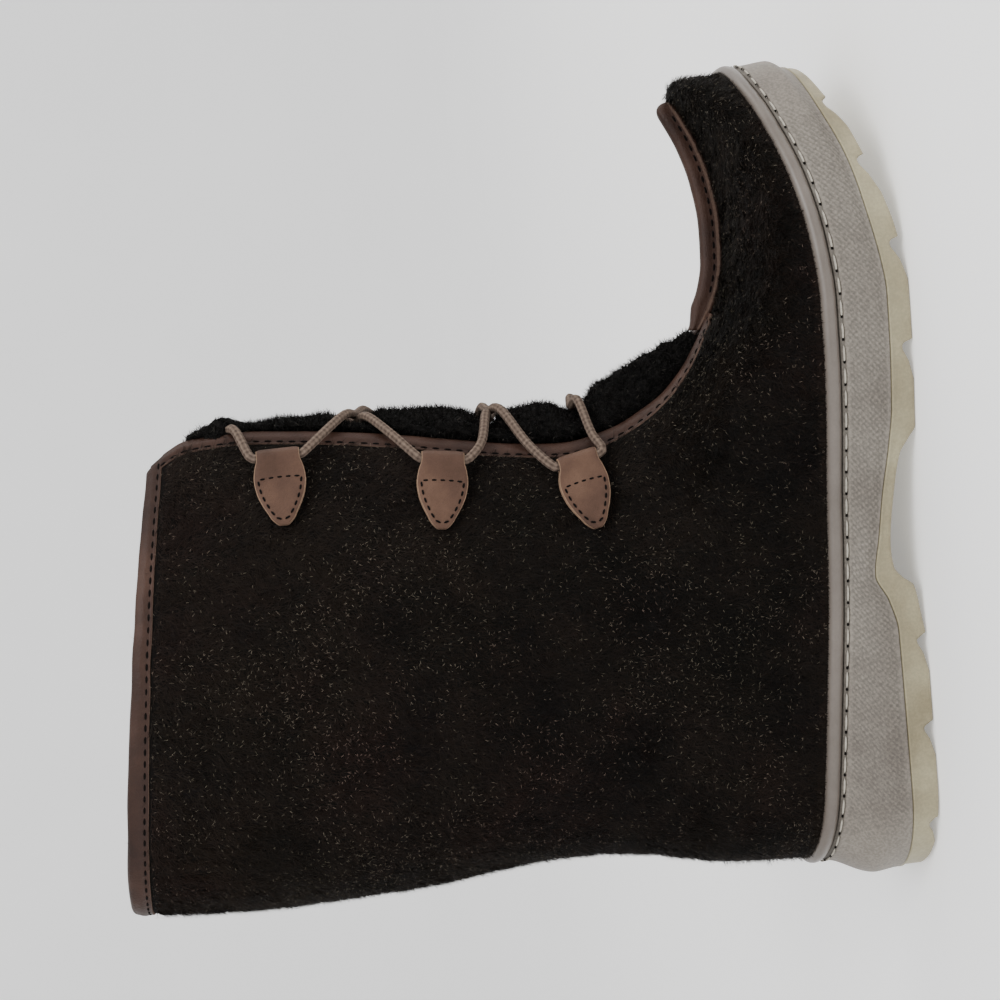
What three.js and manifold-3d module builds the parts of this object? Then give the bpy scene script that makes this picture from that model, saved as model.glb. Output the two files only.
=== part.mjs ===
// Mukluk boot for the right foot: short-haired suede upper with a pile lining, open down the
// front over a pile tongue, bound with leather, laced through six leather tabs, on a rubber cup
// sole. Millimetres. X runs from the back of the heel to the toe, +Y is the inner side of the
// foot, Z is the height over the ground.

import * as THREE from 'three';
import { mergeVertices } from 'three/addons/utils/BufferGeometryUtils.js';
import Module from 'manifold-3d';

const wasm = await Module();
wasm.setup();

// ---------------------------------------------------------------- driving dimensions

const LENGTH = 290; // sole, heel to toe
const BALL_WIDTH = 108; // sole at its widest
const HEEL_ROUND = 40; // length over which the heel rounds off in plan
const TOE_ROUND = 64; // length over which the toe rounds off in plan
const ROUNDNESS = 2.3; // exponent of both rounded ends
const GAP = 0.3; // clearance between pieces that touch
const CUP_GAP = 0.6; // clearance around the foot of the upper, inside the cup

const WELT_HEIGHT = 5.4;
const WELT_WIDTH = 6;
const GROOVE_HEIGHT = 1.4; // stitched groove under the welt
const GROOVE_DEPTH = 1.5;
const CUP_WALL = WELT_WIDTH; // rubber wall around the foot
const INSOLE_THICKNESS = 4;

const WALL = 5.5; // suede, fur and pile lining together
const FUR_OVERHANG = 4.5; // fur standing out over the welt
const THROAT_X = 206; // where the centre seam opens into the front opening
const BINDING_WIDTH = 7.5;
const BINDING_LEATHER = 1.1;
const BINDING_OVERLAP = 2; // step in the upper under the binding
const SEAM_HEIGHT = 6.5; // raised centre seam
const SEAM_THICKNESS = 5.2;
const SEAM_TOE_X = 279;

const LACE_DIAMETER = 3.2;
const TAB_LEATHER = 1.3;

// ---------------------------------------------------------------- tables

// Plan of the sole: width as a share of the ball width, centre line towards the inner side.
const PLAN = [
  { x: 0, width: 0.73, centre: 0 },
  { x: 32, width: 0.755, centre: 0 },
  { x: 70, width: 0.755, centre: -0.5 },
  { x: 105, width: 0.725, centre: -2.5 },
  { x: 132, width: 0.735, centre: -3 },
  { x: 162, width: 0.84, centre: -2 },
  { x: 190, width: 0.955, centre: 0.2 },
  { x: 215, width: 1, centre: 2.2 },
  { x: 240, width: 0.985, centre: 4.2 },
  { x: 262, width: 0.94, centre: 6 },
  { x: 290, width: 0.9, centre: 8 },
];

// Underside of the tread: heel, breast, arch, forefoot and toe spring.
const UNDERSIDE = [
  { x: 0, z: 0 },
  { x: 86, z: 0 },
  { x: 98, z: 1.4 },
  { x: 107, z: 3 },
  { x: 110.5, z: 7 },
  { x: 114, z: 9.4 },
  { x: 120, z: 10 },
  { x: 141, z: 7.5 },
  { x: 152, z: 5.4 },
  { x: 157, z: 2.4 },
  { x: 161, z: 0 },
  { x: 208, z: 0 },
  { x: 226, z: 2.4 },
  { x: 243, z: 6.8 },
  { x: 263, z: 12 },
  { x: 276, z: 16.5 },
  { x: 290, z: 19.5 },
];

// Ridge line between tread and side wall.
const TREAD_TOP = [
  { x: 0, z: 9.6 },
  { x: 92, z: 10 },
  { x: 103, z: 12.5 },
  { x: 112, z: 16.5 },
  { x: 125, z: 14.4 },
  { x: 140, z: 12.2 },
  { x: 155, z: 9.8 },
  { x: 168, z: 8.4 },
  { x: 206, z: 8 },
  { x: 216, z: 9 },
  { x: 233, z: 12 },
  { x: 252, z: 15.6 },
  { x: 270, z: 20.5 },
  { x: 290, z: 24.5 },
];

// Top of the welt, and floor of the cup under the insole.
const WELT_TOP = [
  { x: 0, z: 43 },
  { x: 14, z: 41 },
  { x: 40, z: 38 },
  { x: 75, z: 34.6 },
  { x: 105, z: 32 },
  { x: 140, z: 30.4 },
  { x: 180, z: 29.6 },
  { x: 205, z: 29.6 },
  { x: 222, z: 30.8 },
  { x: 247, z: 35.2 },
  { x: 270, z: 41.5 },
  { x: 282, z: 45 },
  { x: 290, z: 46 },
];
const CUP_FLOOR = [
  { x: 0, z: 24 },
  { x: 50, z: 23 },
  { x: 100, z: 20.5 },
  { x: 150, z: 17 },
  { x: 205, z: 15.2 },
  { x: 235, z: 18 },
  { x: 262, z: 24 },
  { x: 290, z: 32 },
];

// How far each level of the sole lies inside the plan: the tread's lower edge, the ridge line
// and the welt.
const INSETS = [
  { x: 0, tread: 9, ridge: 1.5, welt: 6.2 },
  { x: 16, tread: 4, ridge: 0.6, welt: 5.6 },
  { x: 45, tread: 2.6, ridge: 0.5, welt: 4.4 },
  { x: 110, tread: 2.6, ridge: 0.8, welt: 2.6 },
  { x: 190, tread: 2.6, ridge: 0.9, welt: 0.8 },
  { x: 260, tread: 3.6, ridge: 1.4, welt: 0.6 },
  { x: 290, tread: 6, ridge: 3, welt: 0.8 },
];

// Cross grooves of the tread: place, depth, and length of the slope up to the lug behind.
const TREAD_GROOVES = [
  { x: 24, depth: 3, slope: 6 },
  { x: 58, depth: 3.4, slope: 8 },
  { x: 88, depth: 3.4, slope: 9 },
  { x: 187, depth: 3.4, slope: 9 },
  { x: 220.5, depth: 3.4, slope: 10 },
  { x: 248.5, depth: 3, slope: 9 },
  { x: 269.5, depth: 2.4, slope: 7 },
];

// Fur surface along the centre seam, from the throat over the dip to the turned-up toe.
const RIDGE = [
  { x: 206, z: 56.5 },
  { x: 213, z: 53.2 },
  { x: 222, z: 51 },
  { x: 236, z: 50.3 },
  { x: 250, z: 51.8 },
  { x: 262, z: 55 },
  { x: 272, z: 59.4 },
  { x: 279, z: 63 },
  { x: 283.5, z: 64.2 },
  { x: 286.5, z: 60.5 },
  { x: 289, z: 51 },
];

// Back of the upper.
const BACK = [
  { z: 44, x: 8 },
  { z: 60, x: 9.2 },
  { z: 75, x: 11 },
  { z: 97, x: 15.6 },
  { z: 112, x: 17.6 },
  { z: 130, x: 18.2 },
  { z: 150, x: 16.8 },
  { z: 175, x: 14.2 },
  { z: 222, x: 13 },
  { z: 250, x: 14 },
  { z: 276, x: 16.5 },
];

// Levels of the vamp, from the feather line up to the centre seam: height as a share of the
// rise of the vamp, and height at the back of the heel.
const VAMP_LEVELS = [
  { rise: 0, backZ: 44 },
  { rise: 0.22, backZ: 50 },
  { rise: 0.46, backZ: 56 },
  { rise: 0.66, backZ: 62 },
  { rise: 0.83, backZ: 67 },
  { rise: 0.95, backZ: 71.5 },
  { rise: 1, backZ: 76 },
];

// Levels above the throat: front edge, height at the back, half the front opening, and half
// the width of the leg.
const LEG_LEVELS = [
  { edgeX: 202.5, edgeZ: 59, backZ: 79, opening: 3.4, half: 37 },
  { edgeX: 197.5, edgeZ: 62.4, backZ: 82.5, opening: 6.2, half: 37 },
  { edgeX: 189, edgeZ: 68.4, backZ: 88, opening: 9.5, half: 37 },
  { edgeX: 181, edgeZ: 76, backZ: 95, opening: 12.5, half: 37 },
  { edgeX: 174, edgeZ: 86, backZ: 104, opening: 15.2, half: 37.2 },
  { edgeX: 168, edgeZ: 99, backZ: 114, opening: 17.5, half: 37.8 },
  { edgeX: 165, edgeZ: 114, backZ: 126, opening: 19.4, half: 38.6 },
  { edgeX: 166.5, edgeZ: 131, backZ: 141, opening: 19.6, half: 39.6 },
  { edgeX: 170, edgeZ: 151, backZ: 160, opening: 18.8, half: 40.6 },
  { edgeX: 174.5, edgeZ: 175, backZ: 184, opening: 17.6, half: 41.4 },
  { edgeX: 178, edgeZ: 201, backZ: 210, opening: 16.4, half: 41.8 },
  { edgeX: 180, edgeZ: 224, backZ: 235, opening: 15.6, half: 41.8 },
  { edgeX: 179, edgeZ: 240, backZ: 258, opening: 16.4, half: 41.4 },
  { edgeX: 176.2, edgeZ: 247, backZ: 268.5, opening: 17.6, half: 41 },
  { edgeX: 172, edgeZ: 253, backZ: 275.5, opening: 19.5, half: 40.8 },
];

// Ridge of the tongue, level by level from the second leg level up.
const TONGUE_RIDGE = [
  { x: 199.5, z: 64.5 },
  { x: 195, z: 74 },
  { x: 190.5, z: 84.5 },
  { x: 185.5, z: 95.5 },
  { x: 181, z: 107.5 },
  { x: 179, z: 121 },
  { x: 179.5, z: 137.5 },
  { x: 181.5, z: 156.5 },
  { x: 183, z: 180 },
  { x: 183, z: 205 },
  { x: 181.5, z: 228 },
  { x: 177.5, z: 242 },
];

// Lace tabs, seen from the side: middle of the folded top edge, height and tilt.
const LACE_TABS = [
  { x: 172.5, z: 210, tilt: 0 },
  { x: 166, z: 155.5, tilt: -8 },
  { x: 161, z: 111, tilt: 10 },
];

// ---------------------------------------------------------------- curves and small helpers

// Smooth curve through the rows of a table, column `value` against column `key`, without
// overshoot between rows.
function curve(table, value, key = 'x') {
  const xs = table.map((row) => row[key]);
  const ys = table.map((row) => row[value]);
  const last = xs.length - 1;
  const chord = (i) => (ys[i + 1] - ys[i]) / (xs[i + 1] - xs[i]);
  const slope = xs.map((_, i) => {
    if (i === 0) return chord(0);
    if (i === last) return chord(last - 1);
    const before = chord(i - 1);
    const after = chord(i);
    return before * after <= 0 ? 0 : (2 * before * after) / (before + after);
  });
  return (x) => {
    const at = THREE.MathUtils.clamp(x, xs[0], xs[last]);
    let i = 0;
    while (i < last - 1 && at > xs[i + 1]) i += 1;
    const step = xs[i + 1] - xs[i];
    const t = (at - xs[i]) / step;
    const rise = ys[i + 1] - ys[i];
    const bend = (1 - t) * (slope[i] * step - rise) + t * (rise - slope[i + 1] * step);
    return ys[i] + t * rise + t * (1 - t) * bend;
  };
}

const mix = THREE.MathUtils.lerp;
const smooth = THREE.MathUtils.smoothstep;

// Quarter of a superellipse: 0 at 0, 1 from 1 on.
function round(share) {
  const rest = 1 - THREE.MathUtils.clamp(share, 0, 1);
  return (1 - rest ** ROUNDNESS) ** (1 / ROUNDNESS);
}

const planWidth = curve(PLAN, 'width');
const centreLine = curve(PLAN, 'centre');
const underside = curve(UNDERSIDE, 'z');
const treadTop = curve(TREAD_TOP, 'z');
const weltTop = curve(WELT_TOP, 'z');
const cupFloor = curve(CUP_FLOOR, 'z');
const treadInset = curve(INSETS, 'tread');
const ridgeInset = curve(INSETS, 'ridge');
const weltInset = curve(INSETS, 'welt');
const ridgeHeight = curve(RIDGE, 'z');
const backX = curve(BACK, 'x', 'z');

// Half the width of the plan at x, drawn in by an inset that may vary along the foot.
function halfWidth(x, inset) {
  const heel = inset(0);
  const toe = LENGTH - inset(LENGTH);
  const full = (planWidth(x) * BALL_WIDTH) / 2 - inset(x);
  const heelRound = round((x - heel) / (HEEL_ROUND - heel));
  const toeRound = round((toe - x) / (TOE_ROUND - inset(LENGTH)));
  return full * heelRound * toeRound;
}

// Closed geometry from vertices and triangles.
function geometry(vertices, triangles) {
  const result = new THREE.BufferGeometry();
  const positions = vertices.flatMap((v) => v.toArray());
  result.setAttribute('position', new THREE.Float32BufferAttribute(positions, 3));
  result.setIndex(triangles.flat());
  return result;
}

// Skin over a row of equal sections, each a closed loop of points; the row is closed with two
// end caps, or on itself.
function skin(loops, closed = false) {
  const size = loops[0].length;
  const triangles = [];
  const spans = closed ? loops.length : loops.length - 1;
  for (let i = 0; i < spans; i += 1) {
    const next = (i + 1) % loops.length;
    for (let j = 0; j < size; j += 1) {
      const k = (j + 1) % size;
      const [a, b, c, d] = [i * size + j, i * size + k, next * size + k, next * size + j];
      triangles.push([a, b, c], [a, c, d]);
    }
  }
  if (!closed) {
    const flat = THREE.ShapeUtils.triangulateShape(flatten(loops[0]), []);
    const end = (loops.length - 1) * size;
    flat.forEach(([a, b, c]) => triangles.push([a, c, b], [end + a, end + b, end + c]));
  }
  return outward(geometry(loops.flat(), triangles));
}

// A loop of points in space, laid flat in its own mean plane.
function flatten(loop) {
  const centre = loop.reduce((sum, p) => sum.add(p), new THREE.Vector3()).divideScalar(loop.length);
  const normal = new THREE.Vector3();
  loop.forEach((p, i) => {
    const q = loop[(i + 1) % loop.length];
    normal.add(p.clone().sub(centre).cross(q.clone().sub(centre)));
  });
  normal.normalize();
  const across = loop[0].clone().sub(centre).projectOnPlane(normal).normalize();
  const up = normal.clone().cross(across);
  return loop.map((p) => {
    const arm = p.clone().sub(centre);
    return new THREE.Vector2(arm.dot(across), arm.dot(up));
  });
}

// Turns the faces of a closed geometry outwards.
function outward(shape) {
  const position = shape.getAttribute('position');
  const index = Array.from(shape.index.array);
  const corner = (i) => new THREE.Vector3().fromBufferAttribute(position, index[i]);
  let volume = 0;
  for (let i = 0; i < index.length; i += 3) {
    volume += corner(i).dot(corner(i + 1).cross(corner(i + 2)));
  }
  if (volume < 0) {
    for (let i = 0; i < index.length; i += 3) {
      [index[i], index[i + 1]] = [index[i + 1], index[i]];
    }
    shape.setIndex(index);
  }
  return shape;
}

// Joining and cutting.
function solid(shape) {
  const bare = shape.clone();
  bare.deleteAttribute('normal');
  bare.deleteAttribute('uv');
  const merged = mergeVertices(bare, 1e-4);
  return new wasm.Manifold(
    new wasm.Mesh({
      numProp: 3,
      vertProperties: new Float32Array(merged.getAttribute('position').array),
      triVerts: new Uint32Array(merged.index.array),
    }),
  );
}

function fromSolid(body) {
  const mesh = body.getMesh();
  const result = new THREE.BufferGeometry();
  result.setAttribute('position', new THREE.BufferAttribute(new Float32Array(mesh.vertProperties), 3));
  result.setIndex(new THREE.BufferAttribute(new Uint32Array(mesh.triVerts), 1));
  return result;
}

// ---------------------------------------------------------------- sole

const SOLE_STATIONS = 32;

// Plan loop at one level: out along the outer side to the toe, back along the inner side.
function planLoop(inset, height) {
  const heel = inset(0);
  const toe = LENGTH - inset(LENGTH);
  const side = (sign, i) => {
    const x = mix(heel, toe, (1 - Math.cos((Math.PI * i) / SOLE_STATIONS)) / 2);
    return new THREE.Vector3(x, centreLine(x) + sign * halfWidth(x, inset), height(x));
  };
  const loop = [];
  for (let i = 0; i < SOLE_STATIONS; i += 1) loop.push(side(-1, i));
  for (let i = SOLE_STATIONS; i > 0; i -= 1) loop.push(side(1, i));
  return loop;
}

// Closed body of stacked plan loops, with ladders of faces over its lowest and highest loop.
function soleBody(loops) {
  const size = loops[0].length;
  const triangles = [];
  for (let i = 0; i < loops.length - 1; i += 1) {
    for (let j = 0; j < size; j += 1) {
      const k = (j + 1) % size;
      const [a, b, c, d] = [i * size + j, i * size + k, (i + 1) * size + k, (i + 1) * size + j];
      triangles.push([a, b, c], [a, c, d]);
    }
  }
  const ladder = (start, up) => {
    const add = (a, b, c) => triangles.push(up ? [a, b, c] : [a, c, b]);
    add(start, start + 1, start + size - 1);
    for (let j = 1; j < size / 2 - 1; j += 1) {
      const [a, b] = [start + j, start + j + 1];
      const [c, d] = [start + size - j, start + size - j - 1];
      add(a, b, d);
      add(a, d, c);
    }
    add(start + size / 2 - 1, start + size / 2, start + size / 2 + 1);
  };
  ladder(0, false);
  ladder((loops.length - 1) * size, true);
  return outward(geometry(loops.flat(), triangles));
}

// Cutter for one cross groove across the whole tread: steep on its toe side, sloped behind.
function grooveCutter({ x, depth, slope }) {
  const floor = 1.6; // half the width of the groove's floor
  const under = 6; // how far the cutter reaches below the tread
  const shape = new THREE.Shape();
  shape.moveTo(-floor - slope - 1, -under);
  shape.lineTo(-floor - slope, 0);
  shape.lineTo(-floor - slope * 0.3, depth * 0.45);
  shape.lineTo(-floor, depth - 0.5);
  shape.quadraticCurveTo(0, depth + 0.3, floor, depth - 0.5);
  shape.lineTo(floor + 0.8, 0);
  shape.lineTo(floor + 1.4, -under);
  const cutter = new THREE.ExtrudeGeometry(shape, {
    depth: BALL_WIDTH * 1.4,
    bevelEnabled: false,
    curveSegments: 2,
  });
  cutter.translate(0, 0, -BALL_WIDTH * 0.7);
  cutter.rotateX(Math.PI / 2);
  cutter.rotateY(-Math.atan((underside(x + 4) - underside(x - 4)) / 8));
  cutter.translate(x, 0, underside(x));
  return cutter;
}

function outsole() {
  const body = soleBody([
    planLoop(treadInset, underside),
    planLoop((x) => mix(treadInset(x), ridgeInset(x), 0.75), (x) => underside(x) + 1.6),
    planLoop(ridgeInset, (x) => treadTop(x) - GAP / 2),
  ]);
  let tread = solid(body);
  TREAD_GROOVES.forEach((groove) => {
    tread = tread.subtract(solid(grooveCutter(groove)));
  });
  return fromSolid(tread);
}

const weltBottom = (x) => weltTop(x) - WELT_HEIGHT;

function midsole() {
  const bulge = (x) => Math.min(ridgeInset(x), weltInset(x)) * 0.4;
  const wallTop = (x) => weltBottom(x) - GROOVE_HEIGHT;
  const grooved = (x) => weltInset(x) + GROOVE_DEPTH;
  const inner = (x) => weltInset(x) + CUP_WALL;
  return soleBody([
    planLoop(ridgeInset, (x) => treadTop(x) + GAP / 2),
    planLoop(bulge, (x) => mix(treadTop(x), wallTop(x), 0.35)),
    planLoop((x) => weltInset(x) + 0.4, wallTop),
    planLoop(grooved, (x) => wallTop(x) + 0.2),
    planLoop(grooved, (x) => weltBottom(x) - GAP / 2),
    planLoop(inner, (x) => weltBottom(x) - GAP / 2),
    planLoop(inner, cupFloor),
  ]);
}

// Rounded section of the welt: distance inwards, height over its underside.
function weltSection() {
  const lip = WELT_HEIGHT / 2;
  const points = [
    [WELT_WIDTH, 0],
    [WELT_WIDTH, WELT_HEIGHT],
  ];
  for (let turn = 90; turn <= 270; turn += 45) {
    const angle = THREE.MathUtils.degToRad(turn);
    points.push([lip + lip * Math.cos(angle), lip + lip * Math.sin(angle)]);
  }
  return points;
}

function welt() {
  const rings = weltSection().map(([inwards, up]) =>
    planLoop(
      (x) => weltInset(x) + inwards,
      (x) => mix(weltBottom(x) + GAP / 2, weltTop(x), up / WELT_HEIGHT),
    ),
  );
  return skin(rings, true);
}

function insole() {
  const edge = (x) => weltInset(x) + WELT_WIDTH + WALL + 3 * CUP_GAP;
  return soleBody([
    planLoop((x) => edge(x) + 0.4, (x) => cupFloor(x) + GAP),
    planLoop(edge, (x) => cupFloor(x) + GAP + 1),
    planLoop((x) => edge(x) + 1, (x) => cupFloor(x) + GAP + INSOLE_THICKNESS),
  ]);
}

// ---------------------------------------------------------------- upper: its surface

const upperInset = (x) => weltInset(x) + WELT_WIDTH + CUP_GAP - FUR_OVERHANG;
const TOE_X = LENGTH - upperInset(LENGTH);
const featherHeight = (x) => weltTop(x) + 1.3;
const THROAT_LEVEL = VAMP_LEVELS.length - 1;
const DOME = 2.4; // exponent of the foot's domed cross sections
const ANKLE_HALF = 37; // half the width of the leg, down to the feather line
const domeShare = (rise) => Math.sqrt(1 - Math.min(rise, 1) ** DOME);

const vampLevels = VAMP_LEVELS.map(({ rise, backZ }) => ({
  rise,
  backZ,
  edgeX: THROAT_X,
  edgeZ: mix(featherHeight(THROAT_X), ridgeHeight(THROAT_X), rise),
  opening: halfWidth(THROAT_X, upperInset) * domeShare(rise),
  half: ANKLE_HALF,
}));
const levels = [...vampLevels, ...LEG_LEVELS.map((row) => ({ rise: 1, ...row }))].map((row, level) => ({
  level,
  ...row,
}));
const TOP_LEVEL = levels.length - 1;

const edgeX = curve(levels, 'edgeX', 'level');
const edgeZ = curve(levels, 'edgeZ', 'level');
const backZ = curve(levels, 'backZ', 'level');
const riseAt = curve(levels, 'rise', 'level');
const openingAt = curve(levels, 'opening', 'level');
const legHalf = curve(levels, 'half', 'level');

// Height that the instep would reach over the front opening, from the opening's own edges.
const LEG_BLEND_START = THROAT_LEVEL + 1;
const LEG_BLEND_END = THROAT_LEVEL + 7;
const instepRows = levels.slice(THROAT_LEVEL, LEG_BLEND_END).map((row) => {
  const share = row.opening / halfWidth(row.edgeX, upperInset);
  const rise = (1 - share ** 2) ** (1 / DOME);
  const foot = featherHeight(row.edgeX);
  return { x: row.edgeX, z: foot + (row.edgeZ - foot) / rise };
});
const instepHeight = curve([{ x: 120, z: 420 }, { x: 150, z: 190 }, ...instepRows.reverse()], 'z');

// Point of the outer surface behind the throat. `along` runs from 0 at the centre back to 1 at
// the front edge, `level` from the feather line to the topline.
function legPoint(side, along, level) {
  const back = backX(backZ(level));
  const x = mix(back, edgeX(level), along);
  const rise = riseAt(level);
  const chordZ = mix(backZ(level), edgeZ(level), along);
  const sag = featherHeight(x) - mix(backZ(0), edgeZ(0), along);
  const z = chordZ + (1 - rise) * sag;

  const planX = x - (back - backX(backZ(0))) * (1 - along) ** 3;
  const foot = featherHeight(x);
  const ridge = x < THROAT_X ? instepHeight(x) : ridgeHeight(x);
  const footHalf = halfWidth(planX, upperInset) * domeShare((z - foot) / (ridge - foot));

  const half = legHalf(level);
  const fall = THREE.MathUtils.clamp((along - 0.5) / 0.5, 0, 1) ** 2.4;
  const calfHalf = half * round(along / 0.46) * mix(1, openingAt(level) / half, fall);

  const leg = smooth(level, LEG_BLEND_START, LEG_BLEND_END);
  const y = centreLine(x) * (1 - leg) + side * mix(footHalf, calfHalf, leg);
  return new THREE.Vector3(x, y, z);
}

// Point of the outer surface in front of the throat. `ahead` runs from 0 at the throat to 1 at
// the toe, `rise` from the feather line to the centre seam.
function vampPoint(side, ahead, rise) {
  const x = mix(THROAT_X, TOE_X, ahead);
  const foot = featherHeight(x);
  const y = centreLine(x) + side * halfWidth(x, upperInset) * domeShare(rise);
  return new THREE.Vector3(x, y, mix(foot, ridgeHeight(x), rise));
}

// ---------------------------------------------------------------- upper: its solid

// Columns from the centre back to the front edge, the last ones under the front binding, then on
// to the toe. Rows are the levels, with one more under the topline binding.
const STEP = 0.4; // width of the step down to the part under a binding
const BINDING_COLUMN = 16;
const columns = [];
for (let i = 0; i <= BINDING_COLUMN; i += 1) {
  const share = i / BINDING_COLUMN;
  columns.push({ place: mix(share ** 1.5, smooth(share, 0, 1), 0.55), strip: BINDING_WIDTH, lip: 0 });
}
columns.push({ place: 1, strip: BINDING_WIDTH - STEP, lip: 1 });
columns.push({ place: 1, strip: 0, lip: 1 });
const EDGE_COLUMN = columns.length - 1;
const VAMP_COLUMNS = 11;
const TOE_COLUMN = EDGE_COLUMN + VAMP_COLUMNS;

const rows = levels.slice(0, TOP_LEVEL).map((row) => ({ level: row.level, lip: 0 }));
rows.push({ level: TOP_LEVEL - 1 + STEP / BINDING_WIDTH, lip: 1 });
rows.push({ level: TOP_LEVEL, lip: 1 });
const TOP_ROW = rows.length - 1;
const BINDING_ROW = TOP_ROW - 2;

// Place along a level that lies a given distance behind the front edge, over the surface.
function placeBehindEdge(level, distance) {
  const edge = legPoint(1, 1, level);
  let near = 1;
  let far = 0.5;
  for (let i = 0; i < 30; i += 1) {
    const middle = (near + far) / 2;
    if (legPoint(1, middle, level).distanceTo(edge) < distance) near = middle;
    else far = middle;
  }
  return near;
}

function surfacePoint(side, column, row) {
  const { level } = rows[row];
  if (column <= EDGE_COLUMN) {
    const { place, strip } = columns[column];
    return legPoint(side, place * placeBehindEdge(level, strip), level);
  }
  const ahead = Math.sin(((column - EDGE_COLUMN) / VAMP_COLUMNS) * (Math.PI / 2));
  return vampPoint(side, ahead, riseAt(level));
}

const vertexIds = new Map();
const surface = [];

// Index of a vertex of the surface, shared where the two sides of the boot meet.
function vertexId(side, column, row) {
  const shared = column === 0 || column === TOE_COLUMN || (row === THROAT_LEVEL && column >= EDGE_COLUMN);
  const key = `${shared ? 0 : side} ${column} ${row}`;
  if (!vertexIds.has(key)) {
    vertexIds.set(key, surface.length);
    const { lip: rowLip } = rows[row];
    const columnLip = column <= EDGE_COLUMN && row > THROAT_LEVEL ? columns[column].lip : 0;
    const point = surfacePoint(side, column, row);
    if (shared && row === THROAT_LEVEL && column >= EDGE_COLUMN) point.y = centreLine(point.x);
    surface.push({ point, row, column, side, lip: Math.max(rowLip, columnLip) });
  }
  return vertexIds.get(key);
}

const surfaceFaces = [];
[-1, 1].forEach((side) => {
  rows.slice(0, TOP_ROW).forEach((_, row) => {
    const end = row < THROAT_LEVEL ? TOE_COLUMN : EDGE_COLUMN;
    for (let column = 0; column < end; column += 1) {
      const a = vertexId(side, column, row);
      const b = vertexId(side, column + 1, row);
      const c = vertexId(side, column + 1, row + 1);
      const d = vertexId(side, column, row + 1);
      const faces = [[a, b, c], [a, c, d]];
      faces.forEach(([p, q, r]) => {
        if (p !== q && q !== r && r !== p) surfaceFaces.push(side < 0 ? [p, q, r] : [p, r, q]);
      });
    }
  });
});

const surfaceGeometry = geometry(surface.map((vertex) => vertex.point), surfaceFaces);
surfaceGeometry.computeVertexNormals();
surface.forEach((vertex, i) => {
  vertex.normal = new THREE.Vector3().fromBufferAttribute(surfaceGeometry.getAttribute('normal'), i);
});

// Point under the surface, measured along its normal.
const below = (vertex, depth) => vertex.point.clone().addScaledVector(vertex.normal, -depth);

// Lowest part of the upper, inside the cup.
function footPoint(side, column, inset, height) {
  const heel = inset(0);
  const toe = LENGTH - inset(LENGTH);
  let x;
  if (column <= EDGE_COLUMN) {
    const { place, strip } = columns[column];
    x = mix(heel, THROAT_X, place * placeBehindEdge(0, strip));
  } else {
    x = mix(THROAT_X, toe, Math.sin(((column - EDGE_COLUMN) / VAMP_COLUMNS) * (Math.PI / 2)));
  }
  return new THREE.Vector3(x, centreLine(x) + side * halfWidth(x, inset), height(x));
}

const FOOT_THICKENING = [2, 1]; // extra wall on the lowest rows

function upper() {
  const outer = surface.map((vertex) => below(vertex, BINDING_OVERLAP * vertex.lip));
  const inner = surface.map((vertex) => {
    const extra = FOOT_THICKENING[vertex.row] ?? 0;
    return below(vertex, WALL + extra - BINDING_OVERLAP * vertex.lip);
  });
  const faces = surfaceFaces.map((face) => [...face]);

  // Rows inside the cup, under the feather line.
  const outerInset = (x) => weltInset(x) + WELT_WIDTH + CUP_GAP;
  const innerInset = (x) => outerInset(x) + WALL;
  const footRows = [
    { height: (x) => weltTop(x) + GAP },
    { height: (x) => cupFloor(x) + GAP },
  ];
  const ids = new Map();
  const footId = (side, column, row) => {
    if (row < 0) return vertexId(side, column, 0);
    const shared = column === 0 || column === TOE_COLUMN;
    const key = `${shared ? 0 : side} ${column} ${row}`;
    if (!ids.has(key)) {
      ids.set(key, outer.length);
      outer.push(footPoint(side, column, outerInset, footRows[row].height));
      inner.push(footPoint(side, column, innerInset, footRows[row].height));
    }
    return ids.get(key);
  };
  [-1, 1].forEach((side) => {
    footRows.forEach((_, row) => {
      for (let column = 0; column < TOE_COLUMN; column += 1) {
        const a = footId(side, column, row);
        const b = footId(side, column + 1, row);
        const c = footId(side, column + 1, row - 1);
        const d = footId(side, column, row - 1);
        [[a, b, c], [a, c, d]].forEach(([p, q, r]) => faces.push(side < 0 ? [p, q, r] : [p, r, q]));
      }
    });
  });
  return shell(outer, inner, faces);
}

// Closed wall between an outer and an inner skin that share their faces.
function shell(outer, inner, faces) {
  const count = outer.length;
  const triangles = [];
  const edges = new Map();
  faces.forEach(([a, b, c]) => {
    triangles.push([a, b, c], [a + count, c + count, b + count]);
    [[a, b], [b, c], [c, a]].forEach(([p, q]) => {
      const twin = `${q} ${p}`;
      if (edges.has(twin)) edges.delete(twin);
      else edges.set(`${p} ${q}`, [p, q]);
    });
  });
  edges.forEach(([p, q]) => {
    triangles.push([q, p, p + count], [q, p + count, q + count]);
  });
  return outward(geometry([...outer, ...inner], triangles));
}

// ---------------------------------------------------------------- tongue

const TONGUE_GAP = 1; // between the tongue and the upper's lining
const TONGUE_FIRST_ROW = THROAT_LEVEL + 2;
const TONGUE_FLANGE = [
  { column: BINDING_COLUMN - 4, thickness: 2.5 },
  { column: BINDING_COLUMN - 2, thickness: 4.5 },
  { column: BINDING_COLUMN, thickness: 6 },
  { column: EDGE_COLUMN, thickness: 7 },
];

const vertexAt = (side, column, row) => surface[vertexId(side, column, row)];

// Unit vector over the surface, out of the front edge.
function outOfEdge(side, row) {
  const edge = vertexAt(side, EDGE_COLUMN, row).point;
  return edge.clone().sub(vertexAt(side, BINDING_COLUMN, row).point).normalize();
}

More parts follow.
